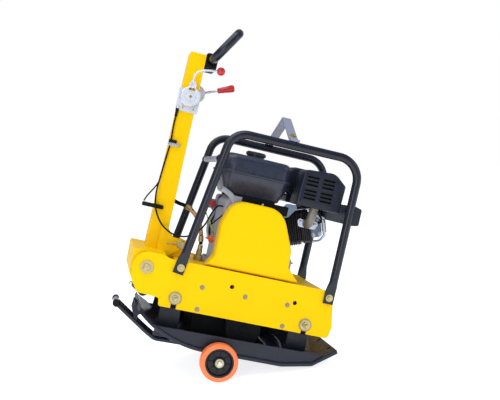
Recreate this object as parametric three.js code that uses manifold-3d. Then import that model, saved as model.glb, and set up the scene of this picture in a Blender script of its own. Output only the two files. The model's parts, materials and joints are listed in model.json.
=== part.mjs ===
// A reversible plate compactor on its transport trolley: a vibrating base plate with a two-shaft
// exciter, a rubber-mounted chassis with a petrol engine and belt drive, a tube cage, a folding
// mast with its controls, and a two-wheel trolley hooked under the rear lip of the plate.
//
// Everything is drawn level, in millimetres: X forward, Y to the far side, Z up, with z = 0 at the
// flat underside of the plate and x = 0 above the trolley's axle. The finished machine is then
// tipped nose down until it stands on its two wheels and on the front knee of its plate.
import * as THREE from 'three';
import { mergeVertices } from 'three/addons/utils/BufferGeometryUtils.js';
import Module from 'manifold-3d';

const wasm = await Module();
wasm.setup();

// ---------------------------------------------------------------- driving dimensions (mm)
const GAP = 0.3; // left between pieces that touch

const PLATE_HALF_WIDTH = 225;
const PLATE_THICK = 12;
const PLATE_KNEE = { x: 310, z: 19 }; // where the front ramp turns up into the lip
const RIB_HALF_WIDTH = 217;
const RIB_TOP = 55;
const SEAT_Z = 15.7; // top of the machined seat under the exciter

const WHEEL_RADIUS = 61;
const WHEEL_WIDTH = 36;
const WHEEL_Y = 247;
const AXLE = { x: 3, z: -17, radius: 8 };
const TROLLEY_HINGE = { x: -268, z: 56 };
const TROLLEY_ARM_Y = 30;
const TROLLEY_BAR = { x: -341, z: 74 }; // the cross grip at the trolley's rear end
const LIP_CORNER = 80; // cut off the rear corners of the plate

const PANEL_Y = 188; // middle of a side panel
const PANEL_THICK = 6;
const DECK_Z = 264; // top of the deck
const MAST_PIVOT = { x: -279, z: 227 };
const LOCK_PIN = { x: -177, z: 310, radius: 7 };
const NOTCH = 8.5; // half the width of the open slot that the lock pin drops into
const MOUNTS = [['rear', -170, 147], ['front', 268, 143]]; // rubber mounts: name, x, z
const MOUNT_BRACKET_Y = 130;

const TUBE_RADIUS = 14;
const TUBE_SIDES = 10;
const CAGE_Y = 205.3;
const CAGE_TOP = 706;
const FOOT_Z = 226;

const CRANK = { x: 30, z: 385 };
const CYLINDER_TILT = THREE.MathUtils.degToRad(19.4);
const EXCITER_Z = 85;
const EXCITER_FRONT_X = 75;
const EXCITER_REAR_X = -25;
const GEAR_PITCH_RADIUS = (EXCITER_FRONT_X - EXCITER_REAR_X) / 2;
const GEAR_TEETH = 16;
const BELT_Y = -150;
const BELT_WIDTH = 16;
const CLUTCH_GROOVE_RADIUS = 40;
const EXCITER_GROOVE_RADIUS = 50;

const SHROUD_RADIUS = 106;
const VANES = 8; // on the flywheel fan
const RECOIL_RADIUS = 92;
const ROPE_RADIUS = 48; // radius at which the starter rope leaves its pulley
const PULL_TILT = THREE.MathUtils.degToRad(25); // the rope leaves rearwards and this much up

const DRUM = { x: -253, z: 795 }; // throttle control on the near side of the mast
const HAND_PUMP = { x: -223, z: 823 }; // direction control on the far side
const MAST_HALF_WIDTH = 45;
const HANDLE_BASE = { x: -203, z: 935 };
const HANDLE_RADIUS = 15;
const HANDLE_REACH = 118;
const HANDLE_LEAN = Math.atan2(77, 125);

// ---------------------------------------------------------------- solids
function solid(geometry) {
  const bare = geometry.clone();
  bare.deleteAttribute('normal');
  bare.deleteAttribute('uv');
  const merged = mergeVertices(bare, 1e-4);
  const points = merged.attributes.position.array;
  const faces = [];
  for (let i = 0; i < merged.index.count; i += 3) {
    const [a, b, c] = [0, 1, 2].map((k) => merged.index.getX(i + k));
    if (a !== b && b !== c && a !== c) faces.push(a, b, c);
  }
  return new wasm.Manifold(new wasm.Mesh({
    numProp: 3,
    vertProperties: new Float32Array(points),
    triVerts: new Uint32Array(faces),
  }));
}

function geometryOf(manifold) {
  const mesh = manifold.getMesh();
  const geometry = new THREE.BufferGeometry();
  geometry.setAttribute('position', new THREE.BufferAttribute(mesh.vertProperties, 3));
  geometry.setIndex(new THREE.BufferAttribute(mesh.triVerts, 1));
  geometry.computeVertexNormals();
  return geometry;
}

function join(...pieces) {
  return geometryOf(pieces.map(solid).reduce((whole, piece) => whole.add(piece)));
}

function cut(body, ...tools) {
  return geometryOf(tools.map(solid).reduce((rest, tool) => rest.subtract(tool), solid(body)));
}

function common(body, other) {
  return geometryOf(solid(body).intersect(solid(other)));
}

// A box from its lowest to its highest corner.
function block(x0, y0, z0, x1, y1, z1) {
  const box = new THREE.BoxGeometry(x1 - x0, y1 - y0, z1 - z0);
  return box.translate((x0 + x1) / 2, (y0 + y1) / 2, (z0 + z1) / 2);
}

function barX(x0, x1, y, z, radius, sides = 12) {
  const bar = new THREE.CylinderGeometry(radius, radius, x1 - x0, sides);
  return bar.rotateZ(-Math.PI / 2).translate((x0 + x1) / 2, y, z);
}

function barY(y0, y1, x, z, radius, sides = 16) {
  const bar = new THREE.CylinderGeometry(radius, radius, y1 - y0, sides);
  return bar.translate(x, (y0 + y1) / 2, z);
}

function barZ(z0, z1, x, y, radius, sides = 16) {
  const bar = new THREE.CylinderGeometry(radius, radius, z1 - z0, sides);
  return bar.rotateX(Math.PI / 2).translate(x, y, (z0 + z1) / 2);
}

// A closed outline through [x, z, radius] corners, each rounded by its radius.
function outline(corners, segments = 3) {
  const count = corners.length;
  const at = (i) => new THREE.Vector2(...corners[(i + count) % count].slice(0, 2));
  const points = [];
  for (let i = 0; i < count; i += 1) {
    const corner = at(i);
    const radius = corners[i][2] ?? 0;
    if (!radius) {
      points.push(corner);
      continue;
    }
    const before = at(i - 1).sub(corner).normalize();
    const after = at(i + 1).sub(corner).normalize();
    const half = Math.acos(THREE.MathUtils.clamp(before.dot(after), -1, 1)) / 2;
    const start = corner.clone().addScaledVector(before, radius / Math.tan(half));
    const centre = before.clone().add(after).normalize()
      .multiplyScalar(radius / Math.sin(half)).add(corner);
    const turn = (Math.PI - 2 * half) * Math.sign(after.cross(before));
    for (let k = 0; k <= segments; k += 1) {
      points.push(start.clone().rotateAround(centre, (turn * k) / segments));
    }
  }
  return new THREE.Shape(points);
}

// Extrudes an outline drawn in X and Z along Y, from y0 to y1.
function alongY(shape, y0, y1) {
  const slab = new THREE.ExtrudeGeometry(shape, { depth: y1 - y0, bevelEnabled: false });
  return slab.rotateX(Math.PI / 2).translate(0, y1, 0);
}

// Extrudes an outline drawn in X and Y along Z, with rounded top and bottom edges.
function alongZ(shape, z0, z1, edge = 0, steps = 3) {
  const slab = new THREE.ExtrudeGeometry(shape, {
    depth: z1 - z0 - 2 * edge,
    bevelEnabled: edge > 0,
    bevelThickness: edge,
    bevelSize: edge,
    bevelOffset: -edge,
    bevelSegments: steps,
  });
  return slab.translate(0, 0, z0 + edge);
}

function rounded(x0, z0, x1, z1, radius, segments = 3) {
  return outline([[x0, z0, radius], [x1, z0, radius], [x1, z1, radius], [x0, z1, radius]], segments);
}

// A turned piece about the Y axis through (x, z); the profile is [radius, y] pairs.
function turned(profile, x, z, sides = 20) {
  const points = profile.map(([radius, y]) => new THREE.Vector2(radius, y));
  if (THREE.ShapeUtils.area(points) < 0) points.reverse();
  return new THREE.LatheGeometry(points, sides).translate(x, 0, z);
}

// A centre line of straight runs and round bends, sampled only where it bends.
class BentLine extends THREE.Curve {
  constructor(corners, radius, bendSteps = 6) {
    super();
    const places = corners.map((corner) => new THREE.Vector3(...corner));
    const last = places.length - 1;
    const heading = (i) => places[i + 1].clone().sub(places[i]).normalize();
    this.stations = [{ place: places[0], heading: heading(0) }];
    for (let i = 1; i < last; i += 1) {
      const [arriving, leaving] = [heading(i - 1), heading(i)];
      const turn = arriving.angleTo(leaving);
      const start = places[i].clone().addScaledVector(arriving, -radius * Math.tan(turn / 2));
      const inward = leaving.clone().addScaledVector(arriving, -leaving.dot(arriving)).normalize();
      const centre = start.clone().addScaledVector(inward, radius);
      for (let k = 0; k <= bendSteps; k += 1) {
        const angle = (turn * k) / bendSteps;
        this.stations.push({
          place: centre.clone().addScaledVector(inward, -radius * Math.cos(angle))
            .addScaledVector(arriving, radius * Math.sin(angle)),
          heading: arriving.clone().multiplyScalar(Math.cos(angle))
            .addScaledVector(inward, Math.sin(angle)),
        });
      }
    }
    this.stations.push({ place: places[last], heading: heading(last - 1) });
  }

  get steps() {
    return this.stations.length - 1;
  }

  getPoint(t, target = new THREE.Vector3()) {
    return target.copy(this.stations[Math.round(t * this.steps)].place);
  }

  getPointAt(u, target) {
    return this.getPoint(u, target);
  }

  getTangentAt(u, target = new THREE.Vector3()) {
    return target.copy(this.stations[Math.round(u * this.steps)].heading);
  }
}

function polygon(radius, sides) {
  const corner = (i) => (2 * Math.PI * (i + 0.5)) / sides;
  const points = Array.from({ length: sides }, (_, i) => (
    new THREE.Vector2(radius * Math.cos(corner(i)), radius * Math.sin(corner(i)))));
  return new THREE.Shape(points);
}

function bentTube(corners, bendRadius, radius, sides = TUBE_SIDES, bendSteps = 6) {
  const line = new BentLine(corners, bendRadius, bendSteps);
  return new THREE.ExtrudeGeometry(polygon(radius, sides), { steps: line.steps, extrudePath: line });
}

// A hose or cable along a smooth curve through the given points.
function softTube(points, radius, steps, sides = 8) {
  const line = new THREE.CatmullRomCurve3(points.map((p) => new THREE.Vector3(...p)), false, 'centripetal');
  return new THREE.ExtrudeGeometry(polygon(radius, sides), { steps, extrudePath: line });
}

// ---------------------------------------------------------------- finishes
function finish(color, roughness, metalness = 0) {
  return new THREE.MeshStandardMaterial({ color, roughness, metalness });
}

const YELLOW = finish('#fddd00', 0.35);
const BLACK_PAINT = finish('#1b1c24', 0.4);
const CAST_BLACK = finish('#25262c', 0.6, 0.3);
const PLASTIC = finish('#26282f', 0.5);
const RUBBER = finish('#17171a', 0.85);
const ORANGE_TYRE = finish('#f5853a', 0.45);
const ORANGE_CAP = finish('#ff6a13', 0.45);
const RED = finish('#c31a1f', 0.3);
const ZINC = finish('#c9b878', 0.35, 0.8);
const STEEL = finish('#c8ccd2', 0.3, 0.9);
const ALUMINIUM = finish('#b9bcc4', 0.45, 0.8);
const GREY = finish('#9a9aa6', 0.5, 0.4);
const EXHAUST = finish('#77777a', 0.6, 0.7);

const machine = new THREE.Group();

function place(name, geometry, material, parent = machine) {
  const mesh = new THREE.Mesh(geometry, material);
  mesh.name = name;
  parent.add(mesh);
  return mesh;
}

// ---------------------------------------------------------------- base plate and exciter
// The plate's section: flat in the middle, a long curve up to the rear lip, a ramp to the front.
function plateSection(lift) {
  const rearLip = new THREE.QuadraticBezierCurve(
    new THREE.Vector2(-273, 80), new THREE.Vector2(-160, 0), new THREE.Vector2(-50, 0));
  const lower = [...rearLip.getPoints(7), new THREE.Vector2(211, 0),
    new THREE.Vector2(PLATE_KNEE.x, PLATE_KNEE.z), new THREE.Vector2(389, 76)];
  const upper = lower.map((p) => new THREE.Vector2(p.x, p.y + lift)).reverse();
  return [lower, upper];
}

function basePlate() {
  const [lower, upper] = plateSection(PLATE_THICK);
  upper[0].x -= 7;
  upper[upper.length - 1].x += 7;
  const whole = alongY(new THREE.Shape([...lower, ...upper]), -PLATE_HALF_WIDTH, PLATE_HALF_WIDTH);
  const tip = PLATE_HALF_WIDTH - LIP_CORNER;
  const edge = PLATE_HALF_WIDTH + 10;
  const corners = [-1, 1].map((side) => alongZ(new THREE.Shape([[-300, side * tip],
    [-300, side * edge], [-215, side * edge]].map((p) => new THREE.Vector2(...p))), 0, 120));
  const pieces = [cut(whole, ...corners)];
  for (const side of [-1, 1]) {
    const [inner, outer] = [side * RIB_HALF_WIDTH, side * (RIB_HALF_WIDTH - 10)].sort((a, b) => a - b);
    const rib = outline([[-213, 40], [-160, 24], [-100, 9], [-50, 6], [211, 6], [310, 24],
      [358, 60], [-213, RIB_TOP]]);
    pieces.push(alongY(rib, inner, outer));
    for (const [, x, z] of MOUNTS) {
      const ear = outline([[x - 38, 8], [x + 38, 8], [x + 30, z + 34, 20], [x - 30, z + 34, 20]]);
      const y = side * MOUNT_BRACKET_Y;
      pieces.push(alongY(ear, y - 5, y + 5));
    }
    for (const offset of [-15, 15]) {
      const y = side * TROLLEY_ARM_Y + offset;
      const lug = outline([[-282, 92], [-284, 58, 6], [-268, 42, 8], [-250, 56, 6], [-248, 70]]);
      pieces.push(alongY(lug, y - 3, y + 3));
    }
    const pinY = side * TROLLEY_ARM_Y;
    pieces.push(barY(pinY - 20, pinY + 20, TROLLEY_HINGE.x, TROLLEY_HINGE.z, 6, 12));
  }
  for (const x of [-150, 174]) pieces.push(block(x - 5, -210, 8, x + 5, 210, 40));
  pieces.push(block(-92, -112, 8, 165, 112, SEAT_Z));
  const holes = [-170, -45, 80].map((y) => barZ(40, 110, 372, y, 6, 8));
  return cut(join(...pieces), ...holes);
}

function exciterHousing() {
  const outside = alongY(rounded(-90, SEAT_Z + GAP, 140, 151, 14), -112, 112);
  const flange = block(-92, -104, SEAT_Z + GAP, 162, 104, SEAT_Z + 9);
  const inside = alongY(rounded(-82, 26, 132, 144, 10), -104, 104);
  const shaftHole = barY(-130, -100, EXCITER_FRONT_X, EXCITER_Z, 14);
  return cut(join(outside, flange), inside, shaftHole);
}

function gear(phase) {
  const step = (2 * Math.PI) / GEAR_TEETH;
  const tooth = [[-0.28, -5], [-0.13, 4], [0.13, 4], [0.28, -5]];
  const points = [];
  for (let i = 0; i < GEAR_TEETH; i += 1) {
    for (const [share, rise] of tooth) {
      const angle = phase + (i + share) * step;
      const radius = GEAR_PITCH_RADIUS + rise;
      points.push(new THREE.Vector2(radius * Math.cos(angle), radius * Math.sin(angle)));
    }
  }
  return cut(alongY(new THREE.Shape(points), 62, 82), barY(50, 90, 0, 0, 12 + GAP, 20));
}

// A shaft with its half-round flyweight, which hangs down at rest.
function exciterShaft(nearEnd) {
  const halfMoon = new THREE.Shape();
  halfMoon.absarc(0, 0, 42, Math.PI, 2 * Math.PI, false);
  const weight = new THREE.ExtrudeGeometry(halfMoon, { depth: 130, bevelEnabled: false, curveSegments: 8 });
  weight.rotateX(Math.PI / 2).translate(0, 45, 0);
  return join(barY(nearEnd, 100, 0, 0, 12, 20), weight);
}

function grooved(grooveRadius) {
  const edge = grooveRadius + 8;
  const [y0, y1] = [BELT_Y - BELT_WIDTH / 2, BELT_Y + BELT_WIDTH / 2];
  const profile = [[13, y0 - 6], [edge, y0 - 6], [edge, y0 - 1], [grooveRadius, y0 - 1],
    [grooveRadius, y1 + 1], [edge, y1 + 1], [edge, y1 + 6], [13, y1 + 6], [13, y0 - 6]];
  return turned(profile, 0, 0, 20);
}

// The belt's loop around both pulleys, at a distance from their grooves.
function beltLoop(clearance) {
  const top = new THREE.Vector2(CRANK.x, CRANK.z);
  const bottom = new THREE.Vector2(EXCITER_FRONT_X, EXCITER_Z);
  const [r0, r1] = [CLUTCH_GROOVE_RADIUS + clearance, EXCITER_GROOVE_RADIUS + clearance];
  const run = bottom.clone().sub(top);
  const heading = Math.atan2(run.y, run.x);
  const lean = Math.acos((r0 - r1) / run.length());
  const loop = new THREE.Shape();
  loop.absarc(top.x, top.y, r0, heading + lean, heading - lean + 2 * Math.PI, false);
  loop.absarc(bottom.x, bottom.y, r1, heading - lean, heading + lean, false);
  return loop;
}

function vBelt() {
  const [y0, y1] = [BELT_Y - BELT_WIDTH / 2, BELT_Y + BELT_WIDTH / 2];
  return cut(alongY(beltLoop(9), y0, y1), alongY(beltLoop(0.8), y0 - 1, y1 + 1));
}

function buildExciter() {
  place('base_plate', basePlate(), CAST_BLACK);
  place('exciter_housing', exciterHousing(), CAST_BLACK);
  const shafts = [['front', EXCITER_FRONT_X, -166, 0], ['rear', EXCITER_REAR_X, -98, 0.5]];
  for (const [name, x, nearEnd, phase] of shafts) {
    const spinning = new THREE.Group();
    spinning.position.set(x, 0, EXCITER_Z);
    machine.add(spinning);
    place(`exciter_shaft_${name}`, exciterShaft(nearEnd), STEEL, spinning);
    place(`exciter_gear_${name}`, gear((phase * 2 * Math.PI) / GEAR_TEETH), STEEL, spinning);
    if (name === 'front') place('exciter_pulley', grooved(EXCITER_GROOVE_RADIUS), CAST_BLACK, spinning);
  }
  place('v_belt', vBelt(), RUBBER);
}

// ---------------------------------------------------------------- chassis and rubber mounts
function sidePanel(side) {
  const edge = outline([[MAST_PIVOT.x - 50, MAST_PIVOT.z + 50, 50], [-322, 186, 30], [-294, 143, 18],
    [-222, 139, 8], [-218, 113, 8], [325, 113, 12], [361, 150, 16], [344, 242, 14], [312, 268, 8],
    [-215, 268, 30], [-232, 277, 30]], 4);
  const y = side * PANEL_Y;
  const panel = alongY(edge, y - PANEL_THICK / 2, y + PANEL_THICK / 2);
  const tools = [barY(y - 10, y + 10, MAST_PIVOT.x, MAST_PIVOT.z, 10.5)];
  for (const [, x, z] of MOUNTS) {
    tools.push(barY(y - 10, y + 10, x, z, 9, 16), block(x - 9, y - 10, 90, x + 9, y + 10, z));
  }
  for (const [x, z] of [[3, 218], [219, 207]]) tools.push(barY(y - 10, y + 10, x, z, 7, 16));
  return cut(panel, ...tools);
}

function chassis() {
  const inside = PANEL_Y - PANEL_THICK / 2 + 1;
  const deck = block(-190, -inside, DECK_Z - 8, 318, inside, DECK_Z);
  const rearWall = block(-190, -inside, 190, -184, inside, DECK_Z - 4);
  const frontWall = block(312, -inside, 150, 318, inside, DECK_Z - 4);
  const lockLug = alongY(outline([[-212, DECK_Z - 4], [-140, DECK_Z - 4], [-150, 322, 10],
    [-196, 334, 6]]), -54, -44);
  const beltSlot = block(-30, BELT_Y - 14, DECK_Z - 12, 150, BELT_Y + 14, DECK_Z + 4);
  const notch = block(-NOTCH - 3, -60, 0, NOTCH, -40, 60).rotateY(-Math.atan2(83, 102));
  notch.translate(LOCK_PIN.x, 0, LOCK_PIN.z);
  const body = join(sidePanel(-1), sidePanel(1), deck, rearWall, frontWall, lockLug);
  return cut(body, beltSlot, notch, barY(-60, -40, LOCK_PIN.x, LOCK_PIN.z, NOTCH));
}

// A rubber buffer between the plate's bracket and the side panel, with the stud, washer and nut
// moulded onto it that hold the panel.
function rubberMount(side, x, z) {
  const [inner, outer] = [MOUNT_BRACKET_Y + 5 + GAP, PANEL_Y - PANEL_THICK / 2 - GAP];
  const face = PANEL_Y + PANEL_THICK / 2 + GAP;
  const profile = [[0, inner], [34, inner], [29, (inner + outer) / 2], [34, outer], [7, outer],
    [7, face], [21, face], [21, face + 4], [12, face + 4], [12, face + 14], [6, face + 14],
    [6, face + 24], [0, face + 24]];
  return turned(profile.map(([r, y]) => [r, side * y]), x, z, 12);
}

function pivotBolt() {
  const face = PANEL_Y + PANEL_THICK / 2 + GAP;
  const half = [[0, 0], [10, 0], [10, face], [19, face], [19, face + 4], [13, face + 4],
    [13, face + 15], [0, face + 15]];
  const nearHalf = half.slice(1, -1).reverse().map(([r, y]) => [r, -y]);
  return turned([[0, -face - 15], ...nearHalf, ...half.slice(2)], MAST_PIVOT.x, MAST_PIVOT.z, 16);
}

function buildChassis() {
  place('chassis', chassis(), YELLOW);
  for (const [sideName, side] of [['near', -1], ['far', 1]]) {
    for (const [end, x, z] of MOUNTS) {
      place(`rubber_mount_${end}_${sideName}`, rubberMount(side, x, z), RUBBER);
    }
  }
  place('mast_pivot_bolt', pivotBolt(), ZINC);
}

// ---------------------------------------------------------------- tube cage
// The rear legs lean forward; this is their centre line's x at a height.
function rearLegX(z) {
  return -199 + (z - 100) * (61 / 400);
}

// The lower end of a leg: the tube pressed flat against the side panel.
function pressedFoot(side, x, lean) {
  const height = 80;
  const foot = new THREE.CylinderGeometry(TUBE_RADIUS, TUBE_RADIUS, height, TUBE_SIDES, 4);
  foot.rotateX(Math.PI / 2).rotateZ(Math.PI / TUBE_SIDES);
  const spots = foot.attributes.position;
  for (let i = 0; i < spots.count; i += 1) {
    const rise = spots.getZ(i) + height / 2;
    const flat = 1 - THREE.MathUtils.smoothstep(rise, 36, 78);
    const across = spots.getX(i) * (1 + 0.25 * flat);
    const deep = Math.min(spots.getY(i) * side, TUBE_RADIUS - 20 * flat);
    spots.setXYZ(i, x + across + lean * rise, side * (CAGE_Y + deep), FOOT_Z + rise);
  }
  return foot;
}

function cageSide(side) {
  const y = side * CAGE_Y;
  const shoulder = FOOT_Z + 79;
  const lean = 61 / 400;
  const route = [[rearLegX(shoulder), y, shoulder], [rearLegX(CAGE_TOP), y, CAGE_TOP],
    [331, y, CAGE_TOP], [327, y, shoulder]];
  const rear = bentTube([route[0], route[1], [100, y, CAGE_TOP]], 62, TUBE_RADIUS, TUBE_SIDES, 5);
  const front = bentTube([[99, y, CAGE_TOP], route[2], route[3]], 74, TUBE_RADIUS, TUBE_SIDES, 6);
  const feet = [pressedFoot(side, rearLegX(FOOT_Z), lean), pressedFoot(side, 327, 0)];
  return join(rear, front, ...feet);
}

// A flat bar bent to an inverted V across the top of the cage, with an eye at its peak.
function liftingBail() {
  const rise = 90;
  const foot = CAGE_TOP + TUBE_RADIUS + GAP;
  const half = [[212, foot], [212, foot + 8], [188, foot + 8], [14, foot + rise - 8], [-14, foot + rise - 8]];
  const inner = [[184, foot], [10, foot + rise - 18]];
  const mirror = (points) => points.map(([y, z]) => [-y, z]);
  const bar = new THREE.Shape([...half.slice(0, 4), ...mirror(half.slice(0, 4)).reverse(),
    ...mirror(inner), ...inner.slice().reverse()].map((p) => new THREE.Vector2(...p)));
  const bail = new THREE.ExtrudeGeometry(bar, { depth: 30, bevelEnabled: false });
  return bail.rotateX(Math.PI / 2).rotateZ(Math.PI / 2).translate(82, 0, 0);
}

function frontGuard() {
  const [low, high] = [494, 559];
  const web = block(344, -207, low, 348, 207, high);
  const flanges = [-1, 1].map((side) => alongY(
    outline([[345, low], [368, low + 4, 6], [368, high - 6, 6], [345, high]]),
    side * CAGE_Y - 2, side * CAGE_Y + 2));
  return join(web, ...flanges);
}

function buildCage() {
  place('cage_near', cageSide(-1), BLACK_PAINT);
  place('cage_far', cageSide(1), BLACK_PAINT);
  const inner = CAGE_Y - TUBE_RADIUS - GAP;
  place('cage_crossbar', barY(-inner, inner, -124, 614, 10.5, 20), GREY);
  place('front_guard', frontGuard(), BLACK_PAINT);
  place('lifting_bail', liftingBail(), GREY);
}

// ---------------------------------------------------------------- belt cover and engine
function coverOutline(inset) {
  const low = DECK_Z + 6 - inset * 4;
  return outline([[-96 + inset, low], [-74 + inset, 306, 20], [-76 + inset, 410, 60],
    [-48 + inset, 495 - inset, 62], [116 - inset, 495 - inset, 74], [172 - inset, 370, 60],
    [174 - inset, 316, 10], [219 - inset, low]], 4);
}

function beltCover() {
  const [front, back] = [-190, -118];
  const shell = cut(alongY(coverOutline(0), front, back), alongY(coverOutline(4), front + 4, back + 1));
  const chamfer = block(-200, -12, -80, 300, 0, 0).rotateX(0.2).translate(0, front - 1, 314);
  return cut(shell, chamfer);
}

function crankcase() {
  const body = alongY(outline([[-62, DECK_Z + GAP], [200, DECK_Z + GAP], [203, 330, 12], [188, 350, 14],
    [146, 358, 8], [144, 371.8], [102.5, 490.4, 8], [60, 508, 10], [-40, 508, 14], [-62, 485, 14]]), -98, 95);
  const foot = block(-80, -104, DECK_Z + GAP, 214, 95, DECK_Z + 12);
  const boss = turned([[0, -112], [44, -112], [58, -90], [0, -90]], CRANK.x, CRANK.z, 20);
  return cut(join(body, foot, boss), barY(-120, 100, CRANK.x, CRANK.z, 14));
}

// Parts along the inclined cylinder: x runs out along the bore from the crankshaft.
function cylinderBarrel() {
  const pieces = [block(104, -44, -46, 200, 44, 46)];
  for (let x = 108; x < 198; x += 10) {
    pieces.push(alongY(rounded(x, -60, x + 3.5, 60, 0), -58, 58));
  }
  return join(...pieces);
}

function cylinderHead() {
  const pieces = [block(200 + GAP, -50, -50, 236, 50, 50), block(230, -36, -44, 276, 36, 24)];
  for (let x = 206; x < 234; x += 10) pieces.push(block(x, -57, -57, x + 4, 57, 57));
  pieces.push(barX(236, 268, -44, 4, 7, 8));
  return join(...pieces);
}

function cylinderShroud() {
  const section = outline([[108, 62], [230, 62, 8], [262, 44], [290, 18, 8], [290, -30], [288, -30],
    [288, 17, 6], [261, 42], [229, 60, 6], [108, 60]], 2);
  return alongY(section, -50, 56);
}

function fuelTank() {
  const plan = (grow, radius) => rounded(-100 - grow, -112 - grow, 141 + grow, 118 + grow, radius, 3);
  const upper = common(alongZ(plan(0, 42), 520, 650, 24, 3), block(-200, -200, 585, 200, 200, 700));
  const lower = common(alongZ(plan(-2, 42), 511, 640, 34, 2), block(-200, -200, 500, 200, 200, 589));
  const seam = alongZ(plan(6, 46), 584, 590);
  return join(upper, lower, seam, barZ(640, 654, 14, -30, 26));
}

function muffler() {
  return alongY(rounded(178, 540, 306, 634, 26, 3), -118, -38);
}

function mufflerGuard() {
  const shape = (inset) => outline([[165 + inset, 524 + inset], [318 - inset, 524 + inset],
    [322 - inset, 618, 10], [278 - inset, 653 - inset, 40],
    [172 + inset, 646 - inset, 16]], 3);
  const shell = cut(alongY(shape(0), -130, -26), alongY(shape(3), -127, -20));
  const slots = [];
  for (const x of [184, 240]) {
    for (const z of [549, 595]) {
      for (let row = 0; row < 3; row += 1) {
        slots.push(block(x, -135, z + 13 * row, x + 42, -120, z + 6 + 13 * row));
      }
    }
  }
  const pipeGap = barZ(510, 532, 242, -88, 20, 12);
  return cut(shell, ...slots, pipeGap);
}

function exhaustPipe() {
  return bentTube([[243, -88, 545], [234, -88, 466], [234, -60, 466]], 24, 15, 10, 4);
}

function airCleaner() {
  const cover = alongY(rounded(152, 548, 304, 652, 22, 3), 14, 134);
  const base = alongY(rounded(160, 526, 296, 550, 6), 20, 128);
  return join(cover, base);
}

function carburettor() {
  const body = block(205, 58 + GAP, 452, 262, 96, 500);
  return join(body, barZ(500, 526 - GAP, 234, 79, 19), barZ(430, 452, 234, 78, 20));
}

function fanShroud() {
  const round = barY(95 + GAP, 145, CRANK.x, CRANK.z, SHROUD_RADIUS, 28);
  const corner = alongY(rounded(-66, 390, 118, 503, 12), 95 + GAP, 145);
  const inside = barY(90, 141, CRANK.x, CRANK.z, SHROUD_RADIUS - 4, 28);
  const insideCorner = alongY(rounded(-62, 395, 113, 498, 9), 89, 141);
  const deckCut = block(-200, 80, 200, 300, 160, DECK_Z + 2);
  const switchBox = alongY(rounded(-98, 446, -60, 480, 5), 100, 140);
  const wall = join(cut(join(round, corner), deckCut), switchBox);
  return cut(wall, join(inside, insideCorner), barY(130, 150, CRANK.x, CRANK.z, 62));
}

function flywheel() {
  const pieces = [turned([[14, 98], [96, 98], [96, 106], [40, 112], [14, 112], [14, 98]], 0, 0, 20)];
  for (let i = 0; i < VANES; i += 1) {
    const vane = block(52, 104, -2, 94, 130, 2).rotateY((i * 2 * Math.PI) / VANES);
    pieces.push(vane);
  }
  return join(...pieces);
}

function recoilCover() {
  const [back, front] = [145 + GAP, 176];
  const shell = turned([[RECOIL_RADIUS - 3, back], [RECOIL_RADIUS, back], [RECOIL_RADIUS, front - 10],
    [RECOIL_RADIUS - 12, front], [0, front], [0, 152], [6, 152], [6, front - 4],
    [RECOIL_RADIUS - 14, front - 4], [RECOIL_RADIUS - 3, front - 12], [RECOIL_RADIUS - 3, back]], 0, 0, 24);
  const slots = [];
  for (let i = 0; i < 8; i += 1) {
    slots.push(block(44, front - 8, -5, 74, front + 4, 5).rotateY((i + 0.5) * (Math.PI / 4)));
  }
  const eyelet = barX(-RECOIL_RADIUS - 10, 0, 156, ROPE_RADIUS, 4, 12).rotateY(PULL_TILT);
  return cut(shell, ...slots, eyelet);
}

// The starter's T-handle with the straight end of its rope; x runs back along the pull.
function recoilHandle() {
  const grip = alongZ(rounded(-118, 146, -97, 166, 8), ROPE_RADIUS - 40, ROPE_RADIUS + 40, 7, 2);
  return join(grip, barX(-102, -4, 156, ROPE_RADIUS, 2, 8)).rotateY(PULL_TILT);
}

function buildRecoil() {
  const starter = new THREE.Group();
  starter.position.set(CRANK.x, 0, CRANK.z);
  machine.add(starter);
  place('recoil_cover', recoilCover(), GREY, starter);
  place('recoil_pulley', turned([[6.5, 152.5], [46, 152.5], [46, 154], [40, 154], [40, 158], [46, 158],
    [46, 159.5], [6.5, 159.5], [6.5, 152.5]], 0, 0, 16), PLASTIC, starter);
  place('recoil_handle', recoilHandle(), PLASTIC, starter);
}

function buildSmallControls() {
  const knob = new THREE.Group();
  knob.position.set(-79, 0, 463);
  machine.add(knob);
  const dial = turned([[0, 88], [11, 88], [12, 90], [12, 100 - GAP], [0, 100 - GAP]], 0, 0, 20);
  place('engine_switch', join(dial, block(-3, 82, -12, 3, 90, 12)), RED, knob);
  for (const [name, x, z, reach] of [['choke_lever', 218, 488, 34], ['fuel_valve_lever', 248, 466, 30]]) {
    const lever = new THREE.Group();
    lever.position.set(x, 96, z);
    machine.add(lever);
    const arm = alongY(outline([[-5, -5, 3], [reach, -4, 3], [reach, 4, 3], [-5, 5, 3]]), 3, 7);
    place(name, join(barY(GAP, 8, 0, 0, 6, 16), arm), PLASTIC, lever);
  }
  for (const [name, x, z, sign] of [['oil_cap_rear', -62, 345, -1], ['oil_cap_front', 202.2, 320, 1]]) {
    const cap = new THREE.Group();
    cap.position.set(x, 0, z);
    machine.add(cap);
    const [from, to] = sign < 0 ? [-16, -GAP] : [GAP + 0.9, 17];
    const wing = block(sign < 0 ? -26 : 15, -11, -3, sign < 0 ? -14 : 27, 11, 3);
    place(name, join(barX(from, to, 0, 0, 12, 20), wing), ORANGE_CAP, cap);
  }
}

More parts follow.
